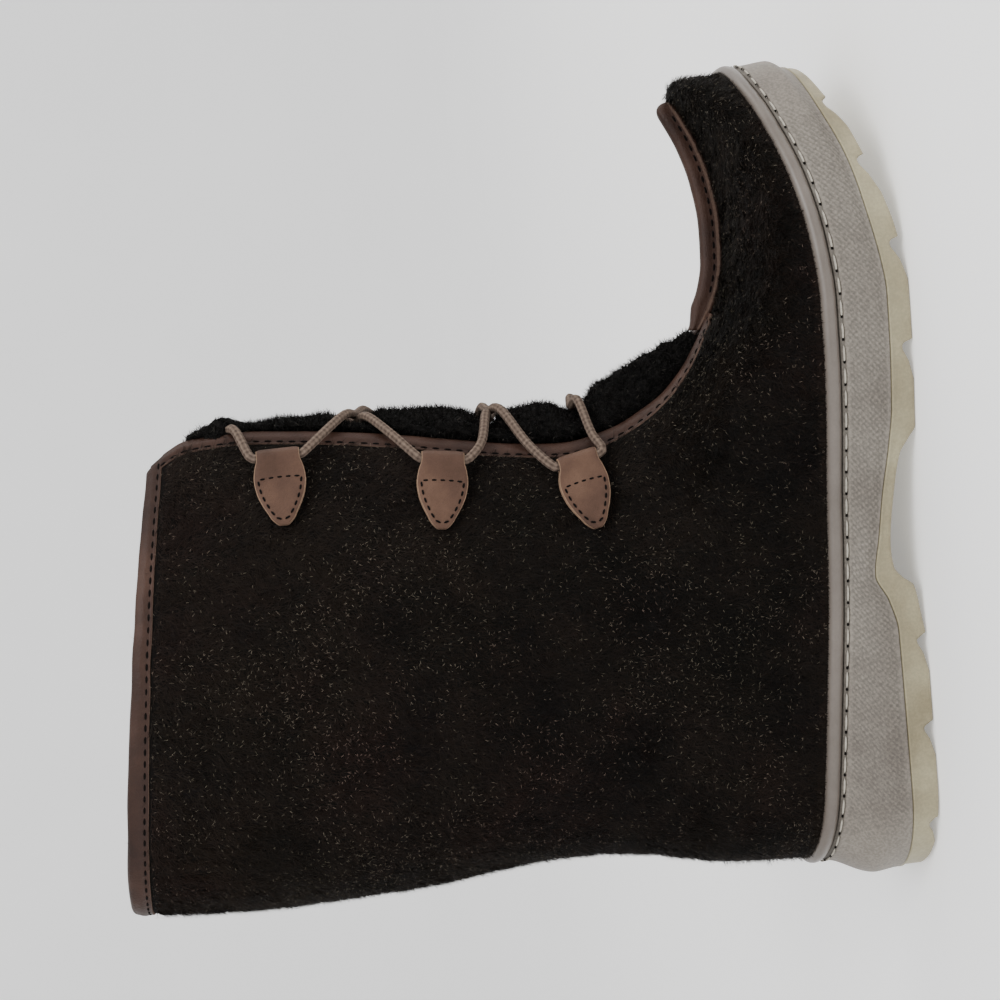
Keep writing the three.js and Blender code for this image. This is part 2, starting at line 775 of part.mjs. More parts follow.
// One section: flanges behind the front edges, and a crown that fills the opening.
function tongueSection(row) {
  const ridge = TONGUE_RIDGE[row - TONGUE_FIRST_ROW];
  const edges = [-1, 1].map((side) => vertexAt(side, EDGE_COLUMN, row));
  const crown = new THREE.Vector3(ridge.x, (edges[0].point.y + edges[1].point.y) / 2, ridge.z);
  const front = (side) => {
    const depth = WALL + TONGUE_GAP;
    const points = TONGUE_FLANGE.map(({ column }) => below(vertexAt(side, column, row), depth));
    const edge = vertexAt(side, EDGE_COLUMN, row);
    const out = outOfEdge(side, row);
    const neck = below(edge, WALL).addScaledVector(out, BINDING_OVERLAP + TONGUE_GAP);
    const lip = below(edge, 0.5).addScaledVector(out, BINDING_OVERLAP + TONGUE_GAP);
    points.push(neck, lip);
    [35, 65].forEach((turn) => {
      const angle = THREE.MathUtils.degToRad(turn);
      const point = crown.clone().lerp(lip, 1 - Math.sin(angle));
      point.y = mix(crown.y, lip.y, Math.cos(angle));
      points.push(point);
    });
    return points;
  };
  const back = (side) =>
    TONGUE_FLANGE.map(({ column, thickness }) =>
      below(vertexAt(side, column, row), WALL + TONGUE_GAP + thickness),
    );
  return [...front(-1), crown, ...front(1).reverse(), ...back(1), ...back(-1).reverse()];
}

function tongue() {
  return skin(TONGUE_RIDGE.map((_, i) => tongueSection(TONGUE_FIRST_ROW + i)));
}

// ---------------------------------------------------------------- bindings

// Folded section of a binding. `over` is a share of the strip that it covers, or millimetres
// past the edge where negative; `depth` is measured into the wall.
const BINDING_SECTION = [
  { over: 0.9, depth: 0 },
  { over: -0.7, depth: 0 },
  { over: -1.6, depth: 0.9 },
  { over: -1.6, depth: WALL - 0.9 },
  { over: -0.7, depth: WALL },
  { over: 0.9, depth: WALL },
  { over: 0.9, depth: WALL - BINDING_LEATHER },
  { over: -0.4, depth: WALL - BINDING_LEATHER },
  { over: -0.4, depth: BINDING_LEATHER },
  { over: 0.9, depth: BINDING_LEATHER },
];

// The section on one station: `edge` on the rim of the upper, `inner` where the strip ends.
function bindingLoop({ edge, inner }) {
  const inwards = inner.point.clone().sub(edge.point).normalize();
  return BINDING_SECTION.map(({ over, depth }) => {
    const share = Math.max(over, 0);
    const normal = edge.normal.clone().lerp(inner.normal, share).normalize();
    const point = edge.point.clone().lerp(inner.point, share);
    return point.addScaledVector(inwards, Math.min(over, 0)).addScaledVector(normal, -depth);
  });
}

function frontBinding(side) {
  const stations = [];
  for (let row = THROAT_LEVEL + 1; row <= BINDING_ROW; row += 1) {
    stations.push({
      edge: vertexAt(side, EDGE_COLUMN, row),
      inner: vertexAt(side, BINDING_COLUMN, row),
    });
  }
  return skin(stations.map(bindingLoop));
}

function toplineBinding() {
  const stations = [];
  const station = (side, column) => ({
    edge: vertexAt(side, column, TOP_ROW),
    inner: vertexAt(side, column, BINDING_ROW),
  });
  for (let column = EDGE_COLUMN; column > 0; column -= 1) stations.push(station(-1, column));
  for (let column = 0; column <= EDGE_COLUMN; column += 1) stations.push(station(1, column));
  return skin(stations.map(bindingLoop));
}

// Raised centre seam: share of the half thickness, share of the height.
const SEAM_SECTION = [
  [-1, 0],
  [-1, 0.62],
  [-0.72, 0.88],
  [0, 1],
  [0.72, 0.88],
  [1, 0.62],
  [1, 0],
];

function seamBinding() {
  const stations = [];
  for (let i = 0; i < VAMP_COLUMNS; i += 1) {
    const { x } = vertexAt(-1, EDGE_COLUMN + i, THROAT_LEVEL).point;
    if (x < SEAM_TOE_X - 3) stations.push({ x: x + (i === 0 ? GAP : 0), size: 1 });
  }
  stations.push({ x: SEAM_TOE_X - 2.5, size: 0.9 }, { x: SEAM_TOE_X, size: 0.45 });
  return skin(
    stations.map(({ x, size }) =>
      SEAM_SECTION.map(([across, up]) => {
        const y = centreLine(x) + (across * size * SEAM_THICKNESS) / 2;
        return new THREE.Vector3(x, y, ridgeHeight(x) + 2 * GAP + up * size * SEAM_HEIGHT);
      }),
    ),
  );
}

// ---------------------------------------------------------------- lace tabs

// Outline of a tab: distance from the folded edge, half width.
const TAB_OUTLINE = [
  { down: 0, half: 7.1 },
  { down: 4, half: 7.1 },
  { down: 7, half: 8.1 },
  { down: 10.5, half: 8.6 },
  { down: 15, half: 8 },
  { down: 19, half: 6.6 },
  { down: 23, half: 4.6 },
  { down: 26, half: 2.5 },
  { down: 27, half: 1 },
];
const TAB_LIFT = 0.5; // over the fur
const TUNNEL_RADIUS = LACE_DIAMETER / 2 + 0.5;
const TUNNEL_OUTER = TUNNEL_RADIUS + TAB_LEATHER;
const TUNNEL_HEIGHT = TAB_LIFT + TUNNEL_OUTER;
const TUNNEL_DOWN = TUNNEL_OUTER;
const TAB_HALF = TAB_OUTLINE[0].half;
const sides = { lateral: -1, medial: 1 };

// Point of the leg's outer surface with the given x and z, and its outward normal.
function surfaceAt(side, x, z) {
  const find = (px, pz) => {
    let low = THROAT_LEVEL;
    let high = TOP_LEVEL;
    const along = (level) => (px - backX(backZ(level))) / (edgeX(level) - backX(backZ(level)));
    for (let i = 0; i < 40; i += 1) {
      const level = (low + high) / 2;
      if (mix(backZ(level), edgeZ(level), along(level)) < pz) low = level;
      else high = level;
    }
    const point = legPoint(side, Math.min(along(low), 1), low);
    return new THREE.Vector3(px, point.y, pz);
  };
  const point = find(x, z);
  const along = find(x - 1, z).sub(point).divideScalar(-1);
  const up = find(x, z - 1).sub(point).divideScalar(-1);
  return { point, normal: along.cross(up).multiplyScalar(-side).normalize() };
}

// Point over a tab's place: `down` from its folded edge, `across` its width, `height` over the fur.
function tabPoint(side, tab, down, across, height) {
  const tilt = THREE.MathUtils.degToRad(tab.tilt);
  const at = (d, a) => [
    tab.x - d * Math.cos(tilt) - a * Math.sin(tilt),
    tab.z - d * Math.sin(tilt) + a * Math.cos(tilt),
  ];
  const { normal: lean } = surfaceAt(side, ...at(8, 0));
  const foreshortened = down * Math.abs(lean.y);
  const { point, normal } = surfaceAt(side, ...at(foreshortened, across));
  return point.addScaledVector(normal, height);
}

function tabTube(side, tab, radius, reach, corners) {
  const stations = [-1, 0, 1].map((end) => end * reach);
  return skin(
    stations.map((across) =>
      Array.from({ length: corners }, (_, i) => {
        const angle = (2 * Math.PI * i) / corners;
        const down = TUNNEL_DOWN + radius * Math.cos(angle);
        return tabPoint(side, tab, down, across, TUNNEL_HEIGHT + radius * Math.sin(angle));
      }),
    ),
  );
}

function laceTab(side, tab) {
  const thickness = 2 * TAB_LEATHER;
  const plate = skin(
    TAB_OUTLINE.slice(1).map(({ down, half }) => {
      const bottom = [-1, 0, 1].map((a) => tabPoint(side, tab, down, a * half, TAB_LIFT));
      const top = [1, 0, -1].map((a) => tabPoint(side, tab, down, a * half, TAB_LIFT + thickness));
      return [...bottom, ...top];
    }),
  );
  const fold = tabTube(side, tab, TUNNEL_OUTER, TAB_HALF, 8);
  const hole = tabTube(side, tab, TUNNEL_RADIUS, TAB_HALF + 2, 6);
  return fromSolid(solid(plate).add(solid(fold)).subtract(solid(hole)));
}

// ---------------------------------------------------------------- lace

const LACE_RADIUS = LACE_DIAMETER / 2;
const TONGUE_CLEARANCE = LACE_RADIUS + 1.2; // centre of the lace over the crown of the tongue
const BINDING_CLEARANCE = LACE_RADIUS + 1.6; // and over the front bindings
const tongueX = curve(TONGUE_RIDGE, 'x', 'z');

// Where the lace leaves a tab, and the bend just past it: end 1 is the upper mouth of the
// tunnel, end -1 the lower one.
const mouth = ({ side, tab, end }) =>
  tabPoint(side, tab, TUNNEL_DOWN, end * (TAB_HALF + 1), TUNNEL_HEIGHT);
const BEND = { forward: 2.4, reach: 3.4, lift: 0.4 };
const bend = ({ side, tab, end }) => {
  const down = TUNNEL_DOWN - BEND.forward;
  return tabPoint(side, tab, down, end * (TAB_HALF + BEND.reach), TUNNEL_HEIGHT + BEND.lift);
};

// Point where a strand passes over the front binding, at height z.
function overEdge(side, z) {
  let row = THROAT_LEVEL + 2;
  while (row < BINDING_ROW - 1 && vertexAt(side, EDGE_COLUMN, row + 1).point.z < z) row += 1;
  const low = vertexAt(side, EDGE_COLUMN, row);
  const high = vertexAt(side, EDGE_COLUMN, row + 1);
  const share = (z - low.point.z) / (high.point.z - low.point.z);
  const point = low.point.clone().lerp(high.point, share);
  return point.addScaledVector(low.normal, BINDING_CLEARANCE);
}

// Strand from one tab over the crown of the tongue, at height z, to another tab.
function strand(from, to, z) {
  const half = (mouthEnd) => {
    const start = mouth(mouthEnd);
    const turn = bend(mouthEnd);
    const shoulder = overEdge(mouthEnd.side, mix(turn.z, z, 0.4));
    const crownZ = mix(turn.z, z, 0.78);
    const crownX = tongueX(crownZ) + TONGUE_CLEARANCE;
    const crown = new THREE.Vector3(crownX, shoulder.y * 0.5, crownZ);
    return [start, turn, shoulder, crown];
  };
  const crest = new THREE.Vector3(tongueX(z) + TONGUE_CLEARANCE, 0, z);
  const points = [...half(from), crest, ...half(to).reverse()];
  const circle = new THREE.Shape();
  const corners = 6;
  for (let i = 0; i < corners; i += 1) {
    const angle = (2 * Math.PI * i) / corners;
    const [x, y] = [LACE_RADIUS * Math.cos(angle), LACE_RADIUS * Math.sin(angle)];
    if (i === 0) circle.moveTo(x, y);
    else circle.lineTo(x, y);
  }
  return new THREE.ExtrudeGeometry(circle, {
    steps: 12,
    bevelEnabled: false,
    extrudePath: new THREE.CatmullRomCurve3(points, false, 'centripetal'),
  });
}

const [TOP_TAB, MIDDLE_TAB, LOW_TAB] = LACE_TABS;
const TOP_BAR_Z = 229;
const UPPER_CROSSING_Z = 183;
const LOWER_CROSSING_Z = 138;
const BOTTOM_BAR_Z = 110;

function laceBar(tab, end, z) {
  return strand({ side: -1, tab, end }, { side: 1, tab, end }, z);
}

function laceCrossing(lowTab, highTab, z) {
  const [first, second] = [-1, 1].map((side) =>
    strand({ side, tab: lowTab, end: 1 }, { side: -side, tab: highTab, end: -1 }, z),
  );
  return fromSolid(solid(first).add(solid(second)));
}

// ---------------------------------------------------------------- assembly

const group = new THREE.Group();

function add(name, shape, color, roughness) {
  const mesh = new THREE.Mesh(shape, new THREE.MeshStandardMaterial({ color, roughness, metalness: 0 }));
  mesh.name = name;
  group.add(mesh);
}

add('outsole', outsole(), 0xa8a087, 0.7);
add('midsole', midsole(), 0x918980, 0.75);
add('welt', welt(), 0x8c857e, 0.45);
add('insole', insole(), 0x1c1a19, 0.95);
add('upper', upper(), 0x20180f, 0.9);
add('tongue', tongue(), 0x141312, 0.95);
add('topline_binding', toplineBinding(), 0x584538, 0.6);
add('vamp_seam_binding', seamBinding(), 0x584538, 0.6);
Object.entries(sides).forEach(([name, side]) => {
  add(`front_binding_${name}`, frontBinding(side), 0x584538, 0.6);
  LACE_TABS.forEach((tab, i) => add(`lace_tab_${name}_${i + 1}`, laceTab(side, tab), 0x6f5f50, 0.65));
});
add('lace_bottom_bar', laceBar(LOW_TAB, -1, BOTTOM_BAR_Z), 0x786a5f, 0.8);
add('lace_crossing_lower', laceCrossing(LOW_TAB, MIDDLE_TAB, LOWER_CROSSING_Z), 0x786a5f, 0.8);
add('lace_crossing_upper', laceCrossing(MIDDLE_TAB, TOP_TAB, UPPER_CROSSING_Z), 0x786a5f, 0.8);
add('lace_top_bar', laceBar(TOP_TAB, 1, TOP_BAR_Z), 0x786a5f, 0.8);

const box = new THREE.Box3().setFromObject(group);
const middle = box.getCenter(new THREE.Vector3());
group.position.set(-middle.x, -middle.y, -box.min.z);

export default group;
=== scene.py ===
"""Looks of the mukluk boot: rubber cup sole, short-haired suede upper, black pile tongue and
lining, leather bindings and lace tabs, and the cord lace. Shapes are worked out in the boot's own
millimetres, X from the back of the heel, +Y to the inner side of the foot, Z over the ground."""

import math

import bpy
import numpy as np
from mathutils import Matrix, Vector


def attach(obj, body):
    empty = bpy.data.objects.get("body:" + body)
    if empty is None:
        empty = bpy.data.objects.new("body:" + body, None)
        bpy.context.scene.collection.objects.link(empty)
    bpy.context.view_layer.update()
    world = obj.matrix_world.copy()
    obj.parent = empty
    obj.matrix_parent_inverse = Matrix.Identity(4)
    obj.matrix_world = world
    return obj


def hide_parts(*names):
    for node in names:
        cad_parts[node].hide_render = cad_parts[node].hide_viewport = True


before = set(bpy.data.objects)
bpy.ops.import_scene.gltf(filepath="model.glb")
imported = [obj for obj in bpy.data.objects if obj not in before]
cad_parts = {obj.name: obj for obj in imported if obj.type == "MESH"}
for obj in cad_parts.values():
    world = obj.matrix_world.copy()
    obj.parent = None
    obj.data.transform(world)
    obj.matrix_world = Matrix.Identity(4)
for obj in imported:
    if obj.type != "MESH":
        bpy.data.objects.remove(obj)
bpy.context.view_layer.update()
rng = np.random.default_rng(11)

# ---------------- the boot's sizes, mm

ORIGIN = np.array([145.14, 2.5, 0.0])  # the frame's origin, in the boot's own millimetres
MM = 0.001
LENGTH = 290.0
BALL_WIDTH = 108.0
HEEL_ROUND = 40.0
TOE_ROUND = 64.0
ROUNDNESS = 2.3
WELT_HEIGHT = 5.4
WELT_WIDTH = 6.0
CUP_GAP = 0.6
WALL = 5.5
FUR_OVERHANG = 4.5
THROAT_X = 206.0
BINDING_WIDTH = 7.5
SEAM_THICKNESS = 5.2
SEAM_TOE_X = 279.0
LACE_DIAMETER = 3.2
TAB_LEATHER = 1.3
INSOLE_THICKNESS = 4.0
DOME = 2.4  # power of the upper's cross section: higher is squarer
ANKLE_HALF = 37.0


def table(columns, *rows):
    """A table with named columns, a row for each section."""
    names = columns.split()
    return {name: np.array([row[i] for row in rows], float) for i, name in enumerate(names)}


PLAN = table("x width centre", (0, 0.73, 0), (32, 0.755, 0), (70, 0.755, -0.5), (105, 0.725, -2.5),
             (132, 0.735, -3), (162, 0.84, -2), (190, 0.955, 0.2), (215, 1, 2.2), (240, 0.985, 4.2),
             (262, 0.94, 6), (290, 0.9, 8))
UNDERSIDE = table("x z", (0, 0), (86, 0), (98, 1.4), (107, 3), (110.5, 7), (114, 9.4), (120, 10),
                  (141, 7.5), (152, 5.4), (157, 2.4), (161, 0), (208, 0), (226, 2.4), (243, 6.8),
                  (263, 12), (276, 16.5), (290, 19.5))
TREAD_TOP = table("x z", (0, 9.6), (92, 10), (103, 12.5), (112, 16.5), (125, 14.4), (140, 12.2),
                  (155, 9.8), (168, 8.4), (206, 8), (216, 9), (233, 12), (252, 15.6), (270, 20.5),
                  (290, 24.5))
WELT_TOP = table("x z", (0, 43), (14, 41), (40, 38), (75, 34.6), (105, 32), (140, 30.4), (180, 29.6),
                 (205, 29.6), (222, 30.8), (247, 35.2), (270, 41.5), (282, 45), (290, 46))
CUP_FLOOR = table("x z", (0, 24), (50, 23), (100, 20.5), (150, 17), (205, 15.2), (235, 18), (262, 24),
                  (290, 32))
INSETS = table("x tread ridge welt", (0, 9, 1.5, 6.2), (16, 4, 0.6, 5.6), (45, 2.6, 0.5, 4.4),
               (110, 2.6, 0.8, 2.6), (190, 2.6, 0.9, 0.8), (260, 3.6, 1.4, 0.6), (290, 6, 3, 0.8))
TREAD_GROOVES = table("x depth slope", (24, 3, 6), (58, 3.4, 8), (88, 3.4, 9), (187, 3.4, 9),
                      (220.5, 3.4, 10), (248.5, 3, 9), (269.5, 2.4, 7))
RIDGE = table("x z", (206, 56.5), (213, 53.2), (222, 51), (236, 50.3), (250, 51.8), (262, 55),
              (272, 59.4), (279, 63), (283.5, 64.2), (286.5, 60.5), (289, 51))
BACK = table("z x", (44, 8), (60, 9.2), (75, 11), (97, 15.6), (112, 17.6), (130, 18.2), (150, 16.8),
             (175, 14.2), (222, 13), (250, 14), (276, 16.5))
VAMP_LEVELS = table("rise back_z", (0, 44), (0.22, 50), (0.46, 56), (0.66, 62), (0.83, 67),
                    (0.95, 71.5), (1, 76))
LEG_LEVELS = table("edge_x edge_z back_z opening half", (202.5, 59, 79, 3.4, 37),
                   (197.5, 62.4, 82.5, 6.2, 37), (189, 68.4, 88, 9.5, 37), (181, 76, 95, 12.5, 37),
                   (174, 86, 104, 15.2, 37.2), (168, 99, 114, 17.5, 37.8), (165, 114, 126, 19.4, 38.6),
                   (166.5, 131, 141, 19.6, 39.6), (170, 151, 160, 18.8, 40.6),
                   (174.5, 175, 184, 17.6, 41.4), (178, 201, 210, 16.4, 41.8),
                   (180, 224, 235, 15.6, 41.8), (179, 240, 258, 16.4, 41.4),
                   (176.2, 247, 268.5, 17.6, 41), (172, 253, 275.5, 19.5, 40.8))
TONGUE_RIDGE = table("x z", (199.5, 64.5), (195, 74), (190.5, 84.5), (185.5, 95.5), (181, 107.5),
                     (179, 121), (179.5, 137.5), (181.5, 156.5), (183, 180), (183, 205), (181.5, 228),
                     (177.5, 242))
LACE_TABS = table("x z tilt", (172.5, 210, 0), (166, 155.5, -8), (161, 111, 10))
TAB_OUTLINE = table("down half", (0, 7.2), (4, 7.1), (7, 8.1), (10.5, 8.6), (15, 8), (19, 6.6),
                    (23, 4.6), (26, 3.2), (27, 2.6))

# ---------------- curves


def curve(rows, value, key="x"):
    """Smooth curve through a table's rows without overshoot, the same as in the solids."""
    xs, ys = rows[key], rows[value]
    chord = np.diff(ys) / np.diff(xs)
    slope = np.empty(len(xs))
    slope[0], slope[-1] = chord[0], chord[-1]
    before, after = chord[:-1], chord[1:]
    total = np.where(before + after == 0, 1, before + after)
    slope[1:-1] = np.where(before * after <= 0, 0, 2 * before * after / total)

    def at(x):
        x = np.clip(x, xs[0], xs[-1])
        i = np.clip(np.searchsorted(xs, x) - 1, 0, len(xs) - 2)
        step = xs[i + 1] - xs[i]
        t = (x - xs[i]) / step
        rise = ys[i + 1] - ys[i]
        bend = (1 - t) * (slope[i] * step - rise) + t * (rise - slope[i + 1] * step)
        return ys[i] + t * rise + t * (1 - t) * bend

    return at


def mix(a, b, t):
    return a + (b - a) * t


def smooth(x, low, high):
    t = np.clip((x - low) / (high - low), 0, 1)
    return t * t * (3 - 2 * t)


def rounded(share):
    rest = 1 - np.clip(share, 0, 1)
    return (1 - rest**ROUNDNESS) ** (1 / ROUNDNESS)


def stack(x, y, z):
    return np.stack(np.broadcast_arrays(x, y, z), axis=-1).astype(float)


def unit(v):
    return v / np.maximum(np.linalg.norm(v, axis=-1, keepdims=True), 1e-9)


def distances(path):
    """How far along a path each of its points lies."""
    return np.concatenate([[0], np.cumsum(np.linalg.norm(np.diff(path, axis=0), axis=1))])


def along_path(at, walked, path):
    """Points or vectors at given distances along a path, between those of its rows."""
    return np.stack([np.interp(at, walked, column) for column in path.T], axis=1)


plan_width, centre_line = curve(PLAN, "width"), curve(PLAN, "centre")
underside, tread_top = curve(UNDERSIDE, "z"), curve(TREAD_TOP, "z")
welt_top, cup_floor = curve(WELT_TOP, "z"), curve(CUP_FLOOR, "z")
tread_inset, ridge_inset = curve(INSETS, "tread"), curve(INSETS, "ridge")
welt_inset, ridge_height = curve(INSETS, "welt"), curve(RIDGE, "z")
back_x = curve(BACK, "x", "z")


def half_width(x, inset):
    """Half the width of the plan at x, drawn in by an inset that may vary along the foot."""
    heel = inset(0.0)
    toe = LENGTH - inset(LENGTH)
    full = plan_width(x) * BALL_WIDTH / 2 - inset(x)
    heel_round = rounded((x - heel) / (HEEL_ROUND - heel))
    return full * heel_round * rounded((toe - x) / (TOE_ROUND - inset(LENGTH)))


# ---------------- the upper's outer surface


def upper_inset(x):
    return welt_inset(x) + WELT_WIDTH + CUP_GAP - FUR_OVERHANG


def feather_height(x):
    return welt_top(x) + 1.3


def dome_share(rise):
    return np.sqrt(1 - np.clip(rise, 0, 1) ** DOME)


TOE_X = LENGTH - upper_inset(LENGTH)
THROAT_LEVEL = len(VAMP_LEVELS["rise"]) - 1
LEG_COUNT = len(LEG_LEVELS["edge_x"])
TOP_LEVEL = THROAT_LEVEL + LEG_COUNT


def joined(vamp, leg):
    return np.concatenate([np.broadcast_to(vamp, THROAT_LEVEL + 1), leg])


LEVELS = {
    "level": np.arange(TOP_LEVEL + 1.0),
    "edge_x": joined(THROAT_X, LEG_LEVELS["edge_x"]),
    "edge_z": joined(mix(feather_height(THROAT_X), ridge_height(THROAT_X), VAMP_LEVELS["rise"]),
                     LEG_LEVELS["edge_z"]),
    "back_z": joined(VAMP_LEVELS["back_z"], LEG_LEVELS["back_z"]),
    "rise": joined(VAMP_LEVELS["rise"], np.ones(LEG_COUNT)),
    "opening": joined(half_width(THROAT_X, upper_inset) * dome_share(VAMP_LEVELS["rise"]),
                      LEG_LEVELS["opening"]),
    "half": joined(ANKLE_HALF, LEG_LEVELS["half"]),
}
edge_x, edge_z = curve(LEVELS, "edge_x", "level"), curve(LEVELS, "edge_z", "level")
back_z, rise_at = curve(LEVELS, "back_z", "level"), curve(LEVELS, "rise", "level")
opening_at, leg_half = curve(LEVELS, "opening", "level"), curve(LEVELS, "half", "level")

LEG_BLEND = (THROAT_LEVEL + 1, THROAT_LEVEL + 7)


def instep_table():
    """Height that the instep would reach over the front opening, from the opening's edges."""
    rows = slice(THROAT_LEVEL, LEG_BLEND[1])
    x, z = LEVELS["edge_x"][rows], LEVELS["edge_z"][rows]
    share = LEVELS["opening"][rows] / half_width(x, upper_inset)
    foot = feather_height(x)
    height = foot + (z - foot) / (1 - share**2) ** (1 / DOME)
    return {"x": np.concatenate([[120, 150], x[::-1]]),
            "z": np.concatenate([[420, 190], height[::-1]])}


instep_height = curve(instep_table(), "z")

# Creases and soft folds of the leg and ankle, seen from the side: both ends, depth, width.
# Positive depths are troughs. The first table is the outer side, the second the inner side.
FOLDS = {
    -1: table("x0 z0 x1 z1 depth width", (122, 92, 60, 108, 1.7, 9), (60, 108, 34, 128, 1.1, 9),
              (186, 60, 168, 40, 1.0, 7), (150, 84, 118, 72, 0.9, 8), (96, 62, 44, 74, -0.8, 13),
              (140, 128, 96, 118, -0.9, 14), (60, 190, 120, 226, 0.8, 20), (120, 160, 60, 150, -0.7, 16)),
    1: table("x0 z0 x1 z1 depth width", (158, 96, 104, 78, 1.6, 8), (104, 78, 66, 54, 1.3, 8),
             (186, 60, 166, 42, 1.0, 7), (120, 112, 60, 100, 0.9, 10), (100, 98, 60, 80, -0.8, 12),
             (150, 190, 84, 214, 0.8, 18)),
}


def slack(side, x, z):
    """How far the fabric stands out over the plain form, from the folds and a slow waviness."""
    folds = FOLDS[side]
    out = 0.35 * np.sin(x / 17 + z / 29 + side) + 0.3 * np.sin(z / 13 - x / 41 + 2 * side)
    for x0, z0, x1, z1, depth, width in zip(*folds.values()):
        dx, dz = x1 - x0, z1 - z0
        t = np.clip(((x - x0) * dx + (z - z0) * dz) / (dx * dx + dz * dz), 0, 1)
        gap = np.hypot(x - x0 - t * dx, z - z0 - t * dz)
        swell = 0.35 * depth * np.exp(-(((gap - 1.9 * width) / width) ** 2))
        out = out - depth * np.exp(-((gap / width) ** 2)) + swell
    return out


def leg_point(side, along, level):
    """Outer surface behind the throat: along is 0 at the centre back and 1 at the front edge."""
    back = back_x(back_z(level))
    x = mix(back, edge_x(level), along)
    chord = mix(back_z(level), edge_z(level), along)
    sag = feather_height(x) - mix(back_z(0.0), edge_z(0.0), along)
    z = chord + (1 - rise_at(level)) * sag
    plan_x = x - (back - back_x(back_z(0.0))) * (1 - along) ** 3
    foot = feather_height(x)
    ridge = np.where(x < THROAT_X, instep_height(x), ridge_height(x))
    foot_half = half_width(plan_x, upper_inset) * dome_share((z - foot) / (ridge - foot))
    half = leg_half(level)
    fall = np.clip((along - 0.5) / 0.5, 0, 1) ** 2.4
    calf_half = half * rounded(along / 0.46) * mix(1, opening_at(level) / half, fall)
    leg = smooth(level, *LEG_BLEND)
    width = mix(foot_half, calf_half, leg)
    calm = smooth(width, 12, 30) * smooth(z - foot, 0, 12) * smooth(1 - along, 0, 0.16)
    return stack(x, centre_line(x) * (1 - leg) + side * (width + calm * slack(side, x, z)), z)


def vamp_point(side, ahead, rise):
    """Outer surface in front of the throat: ahead is 0 at the throat and 1 at the toe."""
    x = mix(THROAT_X, TOE_X, ahead)
    foot = feather_height(x)
    y = centre_line(x) + side * half_width(x, upper_inset) * dome_share(rise)
    return stack(x, y, mix(foot, ridge_height(x), rise))


def behind_edge(level, distance):
    """Place along a level that lies a given distance behind the front edge."""
    level = np.asarray(level, float)
    edge = leg_point(1, 1.0, level)
    near, far = np.ones_like(level), np.full_like(level, 0.5)
    for _ in range(30):
        middle = (near + far) / 2
        short = np.linalg.norm(leg_point(1, middle, level) - edge, axis=-1) < distance
        near, far = np.where(short, middle, near), np.where(short, far, middle)
    return near


# ---------------- meshes and materials


def mesh_object(name, points, faces, materials, slots=None, tone=None, flat=False, check=True):
    """Object from points in the boot's millimetres and triangle or quad faces."""
    points = (np.asarray(points, float).reshape(-1, 3) - ORIGIN) * MM
    faces = [np.asarray(block, np.int32) for block in faces if len(block)]
    mesh = bpy.data.meshes.new(name)
    mesh.vertices.add(len(points))
    mesh.vertices.foreach_set("co", points.astype(np.float32).ravel())
    corners = np.concatenate([block.ravel() for block in faces])
    sizes = np.concatenate([np.full(len(block), block.shape[1], np.int32) for block in faces])
    mesh.loops.add(len(corners))
    mesh.loops.foreach_set("vertex_index", corners)
    mesh.polygons.add(len(sizes))
    starts = np.concatenate([[0], np.cumsum(sizes)[:-1]])
    mesh.polygons.foreach_set("loop_start", starts.astype(np.int32))
    mesh.polygons.foreach_set("loop_total", sizes)
    if slots is not None:
        mesh.polygons.foreach_set("material_index", np.asarray(slots, np.int32))
    if tone is not None:
        layer = mesh.attributes.new("tone", "FLOAT", "POINT")
        layer.data.foreach_set("value", np.asarray(tone, np.float32))
    mesh.update(calc_edges=True)
    if check:
        mesh.validate()
    mesh.polygons.foreach_set("use_smooth", np.full(len(mesh.polygons), not flat))
    for material in materials:
        mesh.materials.append(material)
    piece = bpy.data.objects.new(name, mesh)
    bpy.context.scene.collection.objects.link(piece)
    return piece


def grid_faces(rows, columns, closed_rows=False, closed_columns=False, flip=False):
    """Quads of a grid of rows by columns points, numbered row by row."""
    r = np.arange(rows if closed_rows else rows - 1)[:, None]
    c = np.arange(columns if closed_columns else columns - 1)[None, :]
    r1, c1 = (r + 1) % rows, (c + 1) % columns
    corners = (r * columns + c, r * columns + c1, r1 * columns + c1, r1 * columns + c)
    quads = np.stack(np.broadcast_arrays(*corners), axis=-1).reshape(-1, 4)
    return quads[:, ::-1] if flip else quads


def material(name, **settings):
    """Principled material; returns it with its node tree and shader."""
    made = bpy.data.materials.new(name)
    made.use_nodes = True
    shader = made.node_tree.nodes["Principled BSDF"]
    for socket, value in settings.items():
        shader.inputs[socket.replace("_", " ")].default_value = value
    return made, made.node_tree, shader


def node(tree, kind, inputs=None, **settings):
    made = tree.nodes.new(kind)
    for key, value in settings.items():
        setattr(made, key, value)
    for key, value in (inputs or {}).items():
        if isinstance(value, bpy.types.NodeSocket):
            tree.links.new(value, made.inputs[key])
        else:
            made.inputs[key].default_value = value
    return made


def noise(tree, scale, detail=4.0, roughness=0.55):
    """Noise in the boot's own space, about `scale` features to the metre."""
    place = node(tree, "ShaderNodeTexCoord").outputs["Object"]
    made = node(tree, "ShaderNodeTexNoise", {"Vector": place, "Scale": scale, "Detail": detail,
                                             "Roughness": roughness})
    return made.outputs["Fac"]


def tone_of(tree):
    """The tone attribute that each hair, braid or wall point carries."""
    return node(tree, "ShaderNodeAttribute", attribute_name="tone").outputs["Fac"]


def ramp(tree, factor, *stops):
    """Colour ramp from (place, colour) stops; a colour is one grey or three numbers."""
    made = node(tree, "ShaderNodeValToRGB", {"Fac": factor})
    elements = made.color_ramp.elements
    while len(elements) < len(stops):
        elements.new(0.5)
    for element, (place, colour) in zip(elements, stops):
        grey = isinstance(colour, (int, float))
        element.position = place
        element.color = (*((colour,) * 3 if grey else colour), 1)
    return made.outputs["Color"]


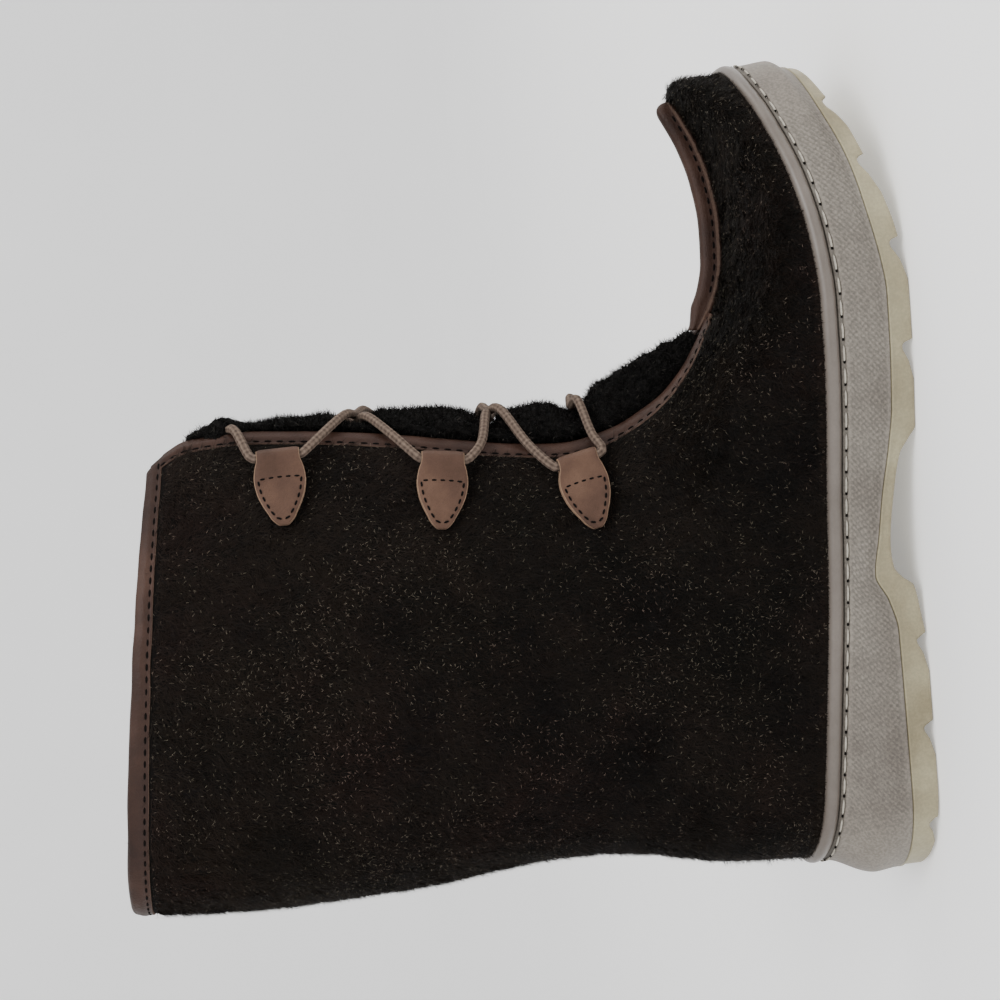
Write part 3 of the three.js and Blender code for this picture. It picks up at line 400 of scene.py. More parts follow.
def multiply(tree, factor, first, second):
    made = node(tree, "ShaderNodeMix", {"Factor": factor}, data_type="RGBA", blend_type="MULTIPLY")
    tree.links.new(first, made.inputs[6])
    tree.links.new(second, made.inputs[7])
    return made.outputs[2]


def bump(tree, shader, *layers):
    """Bump from (height, strength, distance in metres) layers, one over the other."""
    normal = None
    for height, strength, distance in layers:
        inputs = {"Height": height, "Strength": strength, "Distance": distance}
        if normal is not None:
            inputs["Normal"] = normal
        normal = node(tree, "ShaderNodeBump", inputs).outputs["Normal"]
    tree.links.new(normal, shader.inputs["Normal"])


def srgb(*values):
    """Linear colour from 0-255 display values."""
    shares = [v / 255 for v in values]
    return tuple(s / 12.92 if s <= 0.04045 else ((s + 0.055) / 1.055) ** 2.4 for s in shares)


def paint(tree, shader, colour):
    tree.links.new(colour, shader.inputs["Base Color"])


# ---------------- finishes


def suede_finish():
    made, tree, shader = material("suede", Roughness=0.9, Specular_IOR_Level=0.1)
    cloud = ramp(tree, noise(tree, 22, 3), (0.35, srgb(8, 6, 4)), (0.52, srgb(11, 8, 6)),
                 (0.68, srgb(13, 9, 8)))
    fine = ramp(tree, noise(tree, 1400, 2), (0.4, 0.5), (0.62, 1.0))
    paint(tree, shader, multiply(tree, 0.8, cloud, fine))
    bump(tree, shader, (noise(tree, 900, 3), 0.8, 0.0012))
    return made


def hair_finish(name, dark, light, glint):
    """Hair blades: the tone attribute runs from dark to light; its top end is a painted glint, a
    highlight painted as pale colour.
    """
    made, tree, shader = material(name, Roughness=0.55, Specular_IOR_Level=0.08)
    shade = ramp(tree, tone_of(tree), (0.0, dark), (0.88, light), (0.91, light), (1.0, glint))
    cloud = ramp(tree, noise(tree, 20, 3), (0.3, (0.75, 0.78, 0.7)), (0.5, (1.0, 1.0, 0.95)),
                 (0.7, (1.15, 0.92, 0.95)))
    paint(tree, shader, multiply(tree, 1.0, shade, cloud))
    return made


def pile_finish():
    made, tree, shader = material("pile", Roughness=0.95, Specular_IOR_Level=0.1)
    curls = noise(tree, 420, 4, 0.65)
    paint(tree, shader, ramp(tree, curls, (0.35, srgb(5, 5, 5)), (0.7, srgb(22, 20, 19))))
    bump(tree, shader, (curls, 1.0, 0.002))
    return made


def leather_finish(name, base, dark, pale, rough):
    """Smooth leather with fine grain, darker clouds and scuffed, paler spots."""
    made, tree, shader = material(name, Roughness=rough, Specular_IOR_Level=0.18)
    cloud = ramp(tree, noise(tree, 60, 4), (0.3, dark), (0.52, base), (0.74, pale))
    place = node(tree, "ShaderNodeTexCoord").outputs["Object"]
    grain = node(tree, "ShaderNodeTexVoronoi", {"Vector": place, "Scale": 1500.0}).outputs["Distance"]
    creased = ramp(tree, grain, (0.0, 0.72), (0.35, 1.0))
    paint(tree, shader, multiply(tree, 0.6, cloud, creased))
    bump(tree, shader, (grain, 0.35, 0.0003), (noise(tree, 300, 4), 0.3, 0.0006))
    return made


def plain_finish(name, colour, rough):
    made, tree, shader = material(name, Roughness=rough, Specular_IOR_Level=0.1)
    dark = tuple(c * 0.7 for c in colour)
    paint(tree, shader, ramp(tree, noise(tree, 900, 3), (0.3, dark), (0.7, colour)))
    bump(tree, shader, (noise(tree, 900, 3), 0.5, 0.0003))
    return made


def cord_finish(name, hollow_shade, crown):
    """Braided cord: the tone attribute is 1 in the hollows of the braid, which are painted darker as
    shade.
    """
    made, tree, shader = material(name, Roughness=0.85, Specular_IOR_Level=0.15)
    shade = ramp(tree, tone_of(tree), (0.25, crown), (0.85, hollow_shade))
    fuzz = ramp(tree, noise(tree, 1500, 2), (0.35, 0.7), (0.65, 1.0))
    paint(tree, shader, multiply(tree, 1.0, shade, fuzz))
    bump(tree, shader, (noise(tree, 2500, 2), 0.5, 0.0003))
    return made


def rubber_finish(name, base, dirt, rough, speck=0.35):
    """Moulded rubber with slow staining, fine specks and painted shade where the tone attribute is high.
    """
    made, tree, shader = material(name, Roughness=rough)
    stain = ramp(tree, noise(tree, 30, 5, 0.6), (0.35, dirt), (0.6, base))
    specks = ramp(tree, noise(tree, 1100, 2), (0.42, 1 - speck), (0.6, 1.0))
    # Painted shade: darker where the tone attribute is high, in grooves and hollows.
    hollow_shade = ramp(tree, tone_of(tree), (0.2, 1.0), (1.0, 0.62))
    paint(tree, shader, multiply(tree, 1.0, multiply(tree, 0.8, stain, specks), hollow_shade))
    bump(tree, shader, (noise(tree, 700, 3), 0.25, 0.0003))
    return made


SUEDE = suede_finish()
# The last colour of each hair finish is a painted glint highlight.
FUR = hair_finish("fur", srgb(4, 3, 2), srgb(28, 21, 16), srgb(112, 104, 93))
PILE = pile_finish()
PILE_HAIR = hair_finish("pile_hair", srgb(3, 3, 3), srgb(22, 20, 19), srgb(74, 70, 66))
BINDING = leather_finish("binding", srgb(48, 31, 24), srgb(36, 22, 17), srgb(62, 43, 35), 0.5)
RAW_EDGE = plain_finish("raw_edge", srgb(84, 67, 58), 0.9)
TAB = leather_finish("tab", srgb(74, 53, 42), srgb(58, 40, 31), srgb(92, 69, 55), 0.6)
TAB_RIM = plain_finish("tab_rim", srgb(124, 101, 83), 0.9)
THREAD_DARK = plain_finish("thread_dark", srgb(8, 5, 4), 0.9)
THREAD_PALE = plain_finish("thread_pale", srgb(172, 166, 154), 0.7)
# Painted shade: the dark colour of the stitch holes in the groove under the bead.
HOLE_SHADE = plain_finish("hole_shade", srgb(14, 11, 10), 0.95)
# Lace colours: painted shade in the braid's hollows, then the crowns' colour.
LACE = cord_finish("lace", srgb(66, 54, 47), srgb(110, 95, 84))
WALL_RUBBER = rubber_finish("wall_rubber", srgb(128, 121, 111), srgb(110, 102, 93), 0.6)
WELT_RUBBER = rubber_finish("welt_rubber", srgb(102, 94, 87), srgb(88, 80, 73), 0.38, 0.08)
SOLE_RUBBER = rubber_finish("sole_rubber", srgb(156, 148, 120), srgb(128, 118, 91), 0.5, 0.15)


def stand_for(piece, slot, *nodes):
    """Attaches a piece of the look to the root and hides the CAD nodes that it stands for; the slot is
    not used.
    """
    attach(piece, "root")
    if nodes:
        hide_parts(*nodes)


# ---------------- camera, light and floor

# The camera looks square onto the outer side, rolled so that the toe points up the picture and
# a little to the left. It stands over the vamp, about as near as a camera held in the hand.
CAMERA_AT = np.array([204.1, -620.0, 182.7])
LOOK_AT = np.array([147.0, 0.0, 136.0])
TOE_LEAN = math.radians(-5.8)
VIEW_WIDTH = 350.0  # mm across the picture at the boot's middle


def add_camera():
    data = bpy.data.cameras.new("camera")
    camera = bpy.data.objects.new("camera", data)
    bpy.context.scene.collection.objects.link(camera)
    at = Vector((CAMERA_AT - ORIGIN) * MM)
    sight = Vector((LOOK_AT - ORIGIN) * MM) - at
    up = Vector((math.cos(TOE_LEAN), 0, math.sin(TOE_LEAN)))
    back = -sight.normalized()
    right = up.cross(back).normalized()
    up = back.cross(right)
    camera.matrix_world = Matrix((*zip(right, up, back, at), (0, 0, 0, 1)))
    data.sensor_width = 36
    data.lens = 36 * sight.length / (VIEW_WIDTH * MM)
    bpy.context.scene.camera = camera


# Area lights: name, place and target in the frame's metres, size, watts, colour.
LIGHTS = (("key", (0.45, -0.9, 1.2), (0, 0, 0.12), 0.8, 15, (1, 1, 1)),
          ("fill", (-0.8, -1.0, 0.5), (0, 0, 0.12), 1.2, 4, (1, 1, 1)),
          ("toe", (1.1, 0.1, 0.6), (0.05, 0, 0.1), 0.8, 7, (1, 0.97, 0.92)))
FLOOR_REACH = 9000.0
FLOOR_FRONT = 2500.0  # from the boot to the foot of the sweep
SWEEP = 1500.0
BACKDROP_TOP = 7000.0


def add_area_light(name, place, target, size, energy, colour):
    data = bpy.data.lights.new(name, "AREA")
    data.shape, data.size, data.energy, data.color = "SQUARE", size, energy, colour
    light = bpy.data.objects.new(name, data)
    light.location = place
    light.rotation_euler = (Vector(place) - Vector(target)).to_track_quat("Z", "Y").to_euler()
    bpy.context.scene.collection.objects.link(light)


def add_stage():
    """Pale floor that sweeps up into a backdrop, far behind the boot, and soft light."""
    profile = [(-FLOOR_REACH, 0.0), (FLOOR_FRONT, 0.0)]
    profile += [(FLOOR_FRONT + SWEEP * math.sin(a), SWEEP - SWEEP * math.cos(a))
                for a in np.linspace(0, np.pi / 2, 13)[1:]]
    profile += [(FLOOR_FRONT + SWEEP, BACKDROP_TOP)]
    rows = np.array([[(x, y, z) for x in (-FLOOR_REACH, FLOOR_REACH)] for y, z in profile])
    floor_look, tree, shader = material("floor", Roughness=0.85, Emission_Strength=0.3,
                                        Emission_Color=(1, 1, 1, 1))
    paint(tree, shader, ramp(tree, noise(tree, 3, 2), (0.3, 0.88), (0.7, 0.91)))
    mesh_object("floor", rows, [grid_faces(len(profile), 2)], [floor_look])
    world = bpy.data.worlds.new("studio")
    bpy.context.scene.world = world
    world.use_nodes = True
    background = world.node_tree.nodes["Background"]
    background.inputs["Color"].default_value = (1, 1, 1, 1)
    background.inputs["Strength"].default_value = 1.0
    for light in LIGHTS:
        add_area_light(*light)


add_camera()
add_stage()

# ---------------- sole


def plan_ring(inset, height, x_share):
    """Closed ring at one level: out along the outer side, back along the inner side."""
    heel, toe = inset(0.0), LENGTH - inset(LENGTH)
    x = mix(heel, toe, x_share)
    z = height(x)
    outer = stack(x, centre_line(x) - half_width(x, inset), z)
    inner = stack(x, centre_line(x) + half_width(x, inset), z)
    return np.concatenate([outer, inner[-2:0:-1]])


def even_shares(inset, count):
    """Shares of the length that put the points of a ring at even steps around the plan."""
    dense = (1 - np.cos(np.linspace(0, np.pi, 4000))) / 2
    walked = distances(plan_ring(inset, lambda x: 0 * x, dense)[: len(dense)])
    return np.interp(np.linspace(0, walked[-1], count), walked, dense)


def cap_faces(start, size, flip):
    """Ladder of faces across a ring of plan points."""
    j = np.arange(1, size // 2 - 1)
    quads = np.stack([start + j, start + j + 1, start + size - j - 1, start + size - j], axis=-1)
    ends = np.array([[start, start + 1, start + size - 1],
                     [start + size // 2 - 1, start + size // 2, start + size // 2 + 1]])
    if flip:
        return quads[:, ::-1], ends[:, ::-1]
    return quads, ends


def sole_body(name, rings, materials, **extra):
    size = len(rings[0])
    low, low_ends = cap_faces(0, size, True)
    high, high_ends = cap_faces((len(rings) - 1) * size, size, False)
    faces = [grid_faces(len(rings), size, closed_columns=True), np.concatenate([low, high]),
             np.concatenate([low_ends, high_ends])]
    return mesh_object(name, np.concatenate(rings), faces, materials, **extra)


def groove_cut(x):
    """Depth of the cross grooves at x: steep on the toe side, sloped on the heel side."""
    depth = np.zeros_like(x)
    for at, deep, slope in zip(*TREAD_GROOVES.values()):
        places = [-1.6 - slope, -1.6 - 0.3 * slope, -1.6, -0.7, 0.7, 1.6, 2.5]
        depth += deep * np.interp(x - at, places, [0, 0.45, 0.86, 1, 1, 0.86, 0])
    return depth


# Rounded edge of the lugs: share of the way out to the side, rise over the underside.
LUG_EDGE = [(0.0, 0.0), (0.22, 0.10), (0.5, 0.3), (0.78, 0.62), (0.92, 1.1), (1.0, 1.9)]


def make_outsole():
    shares = even_shares(ridge_inset, 620)
    bottom = lambda x: underside(x) + groove_cut(x)
    top = lambda x: tread_top(x) - 0.15
    rings = []
    for out, up in LUG_EDGE:
        inset = lambda x: mix(tread_inset(x) + 0.3, ridge_inset(x) + 0.5, out)
        rings.append(plan_ring(inset, lambda x: np.minimum(bottom(x) + up, top(x) - 1.2), shares))
    for inwards, drop in ((0.5, 1.0), (-0.1, 0.5), (0.3, 0.0)):
        rings.append(plan_ring(lambda x: ridge_inset(x) + inwards, lambda x: top(x) - drop, shares))
    piece = sole_body("outsole_rubber", rings, [SOLE_RUBBER])
    stand_for(piece, "rubber_sole", "outsole")


def welt_bottom(x):
    return welt_top(x) - WELT_HEIGHT


KNURL_PITCH = 2.1
KNURL_DEPTH = 0.5


def make_midsole():
    """Side wall with its diamond knurling, fading at the heel and toe tips, with painted shade in the
    knurl's grooves and in the groove under the bead.
    """
    shares = even_shares(welt_inset, 560)
    wall_top = lambda x: welt_bottom(x) - 1.6
    bulge = lambda x: np.minimum(ridge_inset(x), welt_inset(x)) * 0.4
    levels = np.linspace(0, 1, 34)
    rings = []
    for v in levels:
        low = lambda x: mix(ridge_inset(x), bulge(x), smooth(v, 0, 0.35))
        inset = lambda x: mix(low(x), welt_inset(x) + 0.4, smooth(v, 0.3, 1.0))
        rings.append(plan_ring(inset, lambda x: mix(tread_top(x) + 0.15, wall_top(x), v), shares))
    wall = np.array(rings)
    middle = wall[len(levels) // 2]
    along = distances(np.concatenate([middle, middle[:1]]))[:-1]
    up = wall[:, :, 2]
    rising, falling = (np.abs(np.sin(np.pi * lie / KNURL_PITCH)) for lie in (along + up, along - up))
    diamonds = rising * falling
    x = wall[:, :, 0]
    v = levels[:, None]
    fade = smooth(x, 8, 40) * smooth(LENGTH - x, 6, 34)
    fade = fade * smooth(v, 0.03, 0.12) * smooth(1 - v, 0.03, 0.1)
    ahead = np.roll(wall, -1, axis=1) - np.roll(wall, 1, axis=1)
    out = unit(np.cross(ahead, (0, 0, 1)))
    wall = wall + out * (fade * (diamonds - 0.5) * KNURL_DEPTH)[:, :, None]
    # Painted shade: the tone is high in the knurl's grooves, and the wall rubber's finish paints high
    # tones darker.
    knurl_groove_shade = fade * (1 - diamonds) + (1 - fade) * 0.25
    groove = lambda x: welt_inset(x) + 1.5
    inner = lambda x: welt_inset(x) + WELT_WIDTH
    seat = lambda x: welt_bottom(x) - 0.15
    rings = list(wall)
    for inset, height in ((lambda x: welt_inset(x) + 0.8, lambda x: wall_top(x) + 0.35),
                          (groove, lambda x: wall_top(x) + 0.5), (groove, seat), (inner, seat),
                          (inner, cup_floor)):
        rings.append(plan_ring(inset, height, shares))
    size = wall.shape[1]
    # The rings from the wall's top into the groove under the bead get fixed high tones: painted shade in
    # that groove.
    tone = np.concatenate([knurl_groove_shade.ravel(), np.full(size * 2, 0.8), np.full(size * 3, 0.5)])
    piece = sole_body("midsole_wall", rings, [WALL_RUBBER], tone=tone)
    stand_for(piece, "rubber_wall", "midsole")


def make_welt():
    shares = even_shares(welt_inset, 300)
    lip = WELT_HEIGHT / 2
    section = [(WELT_WIDTH, 0.0), (WELT_WIDTH, WELT_HEIGHT)]
    section += [(lip + lip * math.cos(a), lip + lip * math.sin(a))
                for a in np.linspace(0.5, 1.5, 13) * np.pi]
    rings = []
    for inwards, up in section:
        height = lambda x: mix(welt_bottom(x) + 0.15, welt_top(x), up / WELT_HEIGHT)
        rings.append(plan_ring(lambda x: welt_inset(x) + inwards, height, shares))
    faces = grid_faces(len(rings), len(rings[0]), closed_rows=True, closed_columns=True)
    piece = mesh_object("welt_bead", np.concatenate(rings), [faces], [WELT_RUBBER])
    stand_for(piece, "rubber_welt", "welt")


make_outsole()
make_midsole()
make_welt()

# ---------------- upper

TOP_STRIP = TOP_LEVEL - 0.78  # level of the topline band's lower edge
NARROW_STRIP = 3.9  # width of the front band that shows up the leg
BACK_COLUMNS = 76
VAMP_COLUMNS = 44
SKIN_DEPTH = 1.0  # leather under the fur
LIP = 2.0  # step under a binding
SKIN, UNDER_BAND, FOOT_RIM = 0, 1, 2  # marks of the upper's points


def strip_width(level):
    """The front band looks narrower up the leg, where its edge rolls into the opening."""
    return mix(BINDING_WIDTH, NARROW_STRIP, smooth(level, THROAT_LEVEL + 2, THROAT_LEVEL + 8))


def back_places(count):
    """Places along a level from the centre back to the front edge, closer at the back."""
    share = np.linspace(0, 1, count)
    return mix(share**1.5, smooth(share, 0, 1), 0.55)


def upper_grid():
    """Blocks of points of the outer surface, with their marks, for both sides."""
    vamp_rows = np.linspace(0, THROAT_LEVEL, 25)
    leg_rows = np.concatenate([np.linspace(THROAT_LEVEL, TOP_STRIP, 100),
                               [TOP_STRIP + 0.05, TOP_LEVEL]])
    place = back_places(BACK_COLUMNS)
    blocks = []
    for side in (-1, 1):
        for rows in (vamp_rows, leg_rows):
            strip = behind_edge(rows, strip_width(rows))
            near = behind_edge(rows, strip_width(rows) - 0.4)
            along = np.concatenate([place[None, :] * strip[:, None], near[:, None],
                                    np.ones_like(near)[:, None]], axis=1)
            points = leg_point(side, along, rows[:, None])
            mark = np.full(along.shape, SKIN)
            if rows is leg_rows:
                mark[1:, -2:] = UNDER_BAND
                mark[-2:, :] = UNDER_BAND
            else:
                mark[0, :] = FOOT_RIM
            blocks.append((side, points, mark))
        ahead = np.sin(np.linspace(0, np.pi / 2, VAMP_COLUMNS))
        points = vamp_point(side, ahead[None, :], rise_at(vamp_rows)[:, None])
        mark = np.full(points.shape[:2], SKIN)
        mark[0, :] = FOOT_RIM
        blocks.append((side, points, mark))
    return blocks


def weld(blocks):
    """One surface from the blocks: points, marks and quads, with shared points merged."""
    points, marks, faces, start = [], [], [], 0
    for side, block, mark in blocks:
        rows, columns = block.shape[:2]
        points.append(block.reshape(-1, 3))
        marks.append(mark.ravel())
        faces.append(grid_faces(rows, columns, flip=side > 0) + start)
        start += rows * columns
    points, marks, faces = np.concatenate(points), np.concatenate(marks), np.concatenate(faces)
    _, first, back = np.unique(np.round(points, 2), axis=0, return_index=True, return_inverse=True)
    return points[first], marks[first], back.ravel()[faces]


def triangles_of(quads):
    tris = np.concatenate([quads[:, [0, 1, 2]], quads[:, [0, 2, 3]]])
    good = (tris[:, 0] != tris[:, 1]) & (tris[:, 1] != tris[:, 2]) & (tris[:, 0] != tris[:, 2])
    return tris[good]


def vertex_normals(points, tris):
    a, b, c = points[tris[:, 0]], points[tris[:, 1]], points[tris[:, 2]]
    cross = np.cross(b - a, c - a)
    normals = np.zeros_like(points)
    for corner in range(3):
        np.add.at(normals, tris[:, corner], cross)
    return unit(normals)


def edges_of(tris):
    return np.concatenate([tris[:, [0, 1]], tris[:, [1, 2]], tris[:, [2, 0]]])


def relax(points, tris, weight, rounds):
    """Moves each point towards the mean of its neighbours, by its own weight."""
    edges = np.unique(np.sort(edges_of(tris), axis=1), axis=0)
    degree = np.bincount(edges.ravel(), minlength=len(points))[:, None]
    for _ in range(rounds):
        total = np.zeros_like(points)
        np.add.at(total, edges[:, 0], points[edges[:, 1]])
        np.add.at(total, edges[:, 1], points[edges[:, 0]])
        points = points + (total / degree - points) * weight[:, None]
    return points


def open_edges(tris):
    """Directed edges on the rim of an open surface."""
    edges = edges_of(tris)
    size = int(edges.max()) + 1
    code, twin = edges[:, 0] * size + edges[:, 1], edges[:, 1] * size + edges[:, 0]
    return edges[~np.isin(code, twin)]


def make_upper():
    """Suede skin and pile lining; returns what the hair pieces grow from."""
    points, marks, quads = weld(upper_grid())
    tris = triangles_of(quads)
    edges = open_edges(tris)
    rim = np.zeros(len(points), bool)
    rim[edges.ravel()] = True
    throat = np.exp(-(((points[:, 0] - THROAT_X + 3) / 14) ** 2)) * (points[:, 2] < 60)
    toe = smooth(points[:, 0], 262, 280) * 0.7
    weight = np.clip(throat + toe, 0, 1) * 0.5 * ~rim * (marks == SKIN)
    points = relax(points, tris, weight, 14)
    normals = vertex_normals(points, tris)
    banded = marks == UNDER_BAND
    foot = marks == FOOT_RIM
    outer = points - normals * np.where(banded, LIP, SKIN_DEPTH)[:, None]
    inner = points - normals * (WALL - np.where(banded, LIP, 0.6))[:, None]
    outer[foot, 2] -= 1.0
    inner[foot, 2] = outer[foot, 2]
    count = len(points)
    a, b = edges.T
    wall = np.stack([b, a, a + count, b + count], axis=-1)
    seat = inner[foot].copy()
    seat[:, 2] = cup_floor(seat[:, 0]) + 1
    seat_id = np.full(count, -1)
    seat_id[foot] = 2 * count + np.arange(foot.sum())
    a, b = edges[foot[edges].all(axis=1)].T
    lining = np.stack([b + count, a + count, seat_id[a], seat_id[b]], axis=-1)
    faces = [tris, tris[:, ::-1] + count, wall, lining]
    slots = np.repeat([0, 1, 1, 1], [len(block) for block in faces])
    all_points = np.concatenate([outer, inner, seat])
    piece = mesh_object("upper_suede", all_points, faces, [SUEDE, PILE], slots=slots)
    stand_for(piece, "suede_fur", "upper")
    return outer, inner, normals, tris, marks


upper_outer, upper_inner, upper_normals, upper_tris, upper_marks = make_upper()

# ---------------- places on the leg


def surface_at(side, x, z):
    """Point of the leg's outer surface over a place seen from the side, and its normal."""
    x, z = np.broadcast_arrays(np.asarray(x, float), np.asarray(z, float))

    def find(px, pz):
        low, high = np.full(px.shape, float(THROAT_LEVEL)), np.full(px.shape, float(TOP_LEVEL))
        for _ in range(34):
            level = (low + high) / 2
            back = back_x(back_z(level))
            along = (px - back) / (edge_x(level) - back)
            under = mix(back_z(level), edge_z(level), along) < pz
            low, high = np.where(under, level, low), np.where(under, high, level)
        back = back_x(back_z(low))
        point = leg_point(side, np.clip((px - back) / (edge_x(low) - back), 0, 1), low)
        return stack(px, point[..., 1], pz)

    ahead = find(x + 1, z) - find(x - 1, z)
    up = find(x, z + 1) - find(x, z - 1)
    return find(x, z), unit(np.cross(ahead, up)) * -side


def leg_normal(side, along, level):
    ahead = leg_point(side, along, level) - leg_point(side, along - 0.004, level)
    up = leg_point(side, along, level + 0.02) - leg_point(side, along, level - 0.02)
    return unit(np.cross(ahead, up)) * -side


def tab_point(side, tab, down, across, height):
    """Point over a tab's place: down from its folded edge, across its width, over the fur."""
    place = [np.asarray(v, float) for v in (down, across, height)]
    down, across, height = np.broadcast_arrays(*place)
    x, z, tilt = tab
    tilt = math.radians(tilt)
    cos, sin = math.cos(tilt), math.sin(tilt)
    _, lean = surface_at(side, x - 8 * cos, z - 8 * sin)
    seen = down * abs(lean[1])
    point, normal = surface_at(side, x - seen * cos - across * sin, z - seen * sin + across * cos)
    return point + normal * height[..., None]


TABS = list(zip(LACE_TABS["x"], LACE_TABS["z"], LACE_TABS["tilt"]))
tab_half = curve(TAB_OUTLINE, "half", "down")


def under_tab(points):
    """True for points on the fur that a tab lies over."""
    covered = np.zeros(len(points), bool)
    for side in (-1, 1):
        for x, z, tilt in TABS:
            cos, sin = math.cos(math.radians(tilt)), math.sin(math.radians(tilt))
            _, lean = surface_at(side, x - 8.0, z)
            ahead, up = x - points[:, 0], points[:, 2] - z
            down = (ahead * cos - up * sin) / abs(lean[1])
            across = ahead * sin + up * cos
            inside = (down > -1.5) & (down < 26) & (np.abs(across) < tab_half(down) - 0.4)
            covered |= inside & (points[:, 1] * side > 0)
    return covered


# ---------------- hair


def scatter(points, tris, normals, count):
    """Random places on a surface: roots and normals."""
    corners = points[tris]
    first, second = corners[:, 1] - corners[:, 0], corners[:, 2] - corners[:, 0]
    area = np.linalg.norm(np.cross(first, second), axis=1)
    pick = np.searchsorted(np.cumsum(area) / area.sum(), rng.random(count))
    pick = pick.clip(0, len(tris) - 1)
    u, v = rng.random((2, count))
    over = u + v > 1
    u[over], v[over] = 1 - u[over], 1 - v[over]
    weights = np.stack([1 - u - v, u, v], axis=1)[:, :, None]
    return (corners[pick] * weights).sum(axis=1), unit((normals[tris[pick]] * weights).sum(axis=1))


def waves(points, size, seed):
    """Slow random-looking variation in space, about -1 to 1."""
    turns = np.random.default_rng(seed).normal(size=(5, 3)) / size
    shift = np.arange(5) * 1.7
    return np.sin(points @ turns.T * 2.2 + shift).mean(axis=1) * 1.8


def blades(name, roots, heading, outward, length, width, tone, finish, curl=0.0):
    """Joined hair blades. Without curl each is one triangle; with curl a bent strip of three."""
    length = length[:, None]
    across = unit(np.cross(heading, outward)) * (width / 2)[:, None]
    if curl:
        middle = roots + heading * (length * 0.55) + outward * (length * curl * 0.5)
        tips = roots + heading * (length * 0.95) - outward * (length * curl * 0.3)
        points = [roots - across, roots + across, middle + across * 0.8, middle - across * 0.8, tips]
        first = np.arange(len(roots))[:, None] * 5
        faces = [first + np.array([[0, 1, 2, 3]]), first + np.array([[3, 2, 4]])]
    else:
        points = [roots - across, roots + across, roots + heading * length]
        faces = [np.arange(len(roots) * 3).reshape(-1, 3)]
    points = np.stack(points, axis=1)
    tones = np.repeat(tone, points.shape[1])
    return mesh_object(name, points, faces, [finish], tone=tones, flat=True, check=False)


def along_surface(vector, normals):
    return unit(vector - normals * (vector * normals).sum(axis=1, keepdims=True))


FUR_PIECES = 4
# Hairs of each kind: how many are sown, and their lengths and widths in mm. The fur's number is
# for one piece.
HAIRS = {
    "fur": (116000, (3.2, 5.0), (0.22, 0.34)),
    "glint": (34000, (0.6, 1.4), (0.06, 0.12)),
    "fringe": (16000, (1.6, 3.4), (0.2, 0.3)),
    "lining": (36000, (2.5, 5.0), (0.25, 0.4)),
    "tongue": (52000, (1.6, 3.6), (0.22, 0.36)),
}
NAP = np.array([[-0.3, 0, -1.0]])  # the way that the hair lies
FURRY = upper_tris[(upper_marks[upper_tris] != UNDER_BAND).all(axis=1)]


def make_fur():
    """Short brown hair that lies down the leg, in loose tufts."""
    sown, lengths, widths = HAIRS["fur"]
    for part in range(FUR_PIECES):
        roots, normals = scatter(upper_outer, FURRY, upper_normals, sown)
        keep = ~under_tab(roots)
        roots, normals = roots[keep], normals[keep]
        count = len(roots)
        nap = along_surface(NAP, normals)
        side = np.cross(normals, nap)
        turn = waves(roots, 7, 3) * 0.7 + waves(roots, 2.2, 4) * 0.6 + rng.normal(0, 0.55, count)
        lift = np.clip(rng.normal(0.34, 0.11, count) + waves(roots, 3.5, 5) * 0.09, 0.08, 0.9)
        flat = nap * np.cos(turn)[:, None] + side * np.sin(turn)[:, None]
        heading = unit(flat + normals * lift[:, None])
        length = rng.uniform(*lengths, count) * (1 + 0.08 * waves(roots, 5, 6))
        width = rng.uniform(*widths, count)
        lean = unit(normals + rng.normal(0, 0.3, (count, 3)))
        cloud = 0.16 * waves(roots, 4, 7) + 0.16 * waves(roots, 22, 8)
        cloud = cloud + 0.3 * smooth(roots[:, 2], 100, 240)
        tone = np.clip(rng.normal(0.34, 0.2, count) + cloud, 0, 0.88)
        piece = blades(f"upper_fur_{part + 1}", roots - normals * 0.3, heading, lean, length,
                       width, tone, FUR)
        stand_for(piece, "suede_fur")


def make_glints():
    """Fine hairs that curl over the fur, coloured pale as painted glints of light, thinned in clouds."""
    sown, lengths, widths = HAIRS["glint"]
    roots, normals = scatter(upper_outer, FURRY, upper_normals, sown)
    thick = 0.55 + 0.35 * waves(roots, 30, 12) + 0.2 * waves(roots, 6, 13)
    keep = ~under_tab(roots) & (rng.random(len(roots)) < thick)
    roots, normals = roots[keep], normals[keep]
    count = len(roots)
    heading = along_surface(rng.normal(size=(count, 3)), normals)
    roots = roots + normals * rng.uniform(1.2, 1.9, count)[:, None]
    # Painted highlight: tones at the top of the ramp give these hairs the pale glint colour.
    tone = 0.9 + 0.1 * rng.random(count) ** 0.8
    piece = blades("upper_fur_painted_glints", roots, heading, normals, rng.uniform(*lengths, count),
                   rng.uniform(*widths, count), tone, FUR, curl=0.4)
    stand_for(piece, "suede_fur")


def make_fringe():
    """Hair over the joint with the welt, toned lighter than the leg's fur as painted light along the
    sole.
    """
    low = upper_tris[(upper_marks[upper_tris] == FOOT_RIM).any(axis=1)]
    sown, lengths, widths = HAIRS["fringe"]
    roots, normals = scatter(upper_outer, low, upper_normals, sown)
    count = len(roots)
    down = np.array([0, 0, -1.0]) + rng.normal(0, 0.28, (count, 3))
    down = down + normals * rng.uniform(0.1, 0.5, count)[:, None]
    # Painted light: lighter tones than the leg's fur, for the light that falls on the fur along the sole.
    tone = np.clip(rng.normal(0.6, 0.16, count), 0, 0.9)
    piece = blades("upper_fur_fringe", roots, unit(down), normals, rng.uniform(*lengths, count),
                   rng.uniform(*widths, count), tone, FUR, curl=0.2)
    stand_for(piece, "suede_fur")


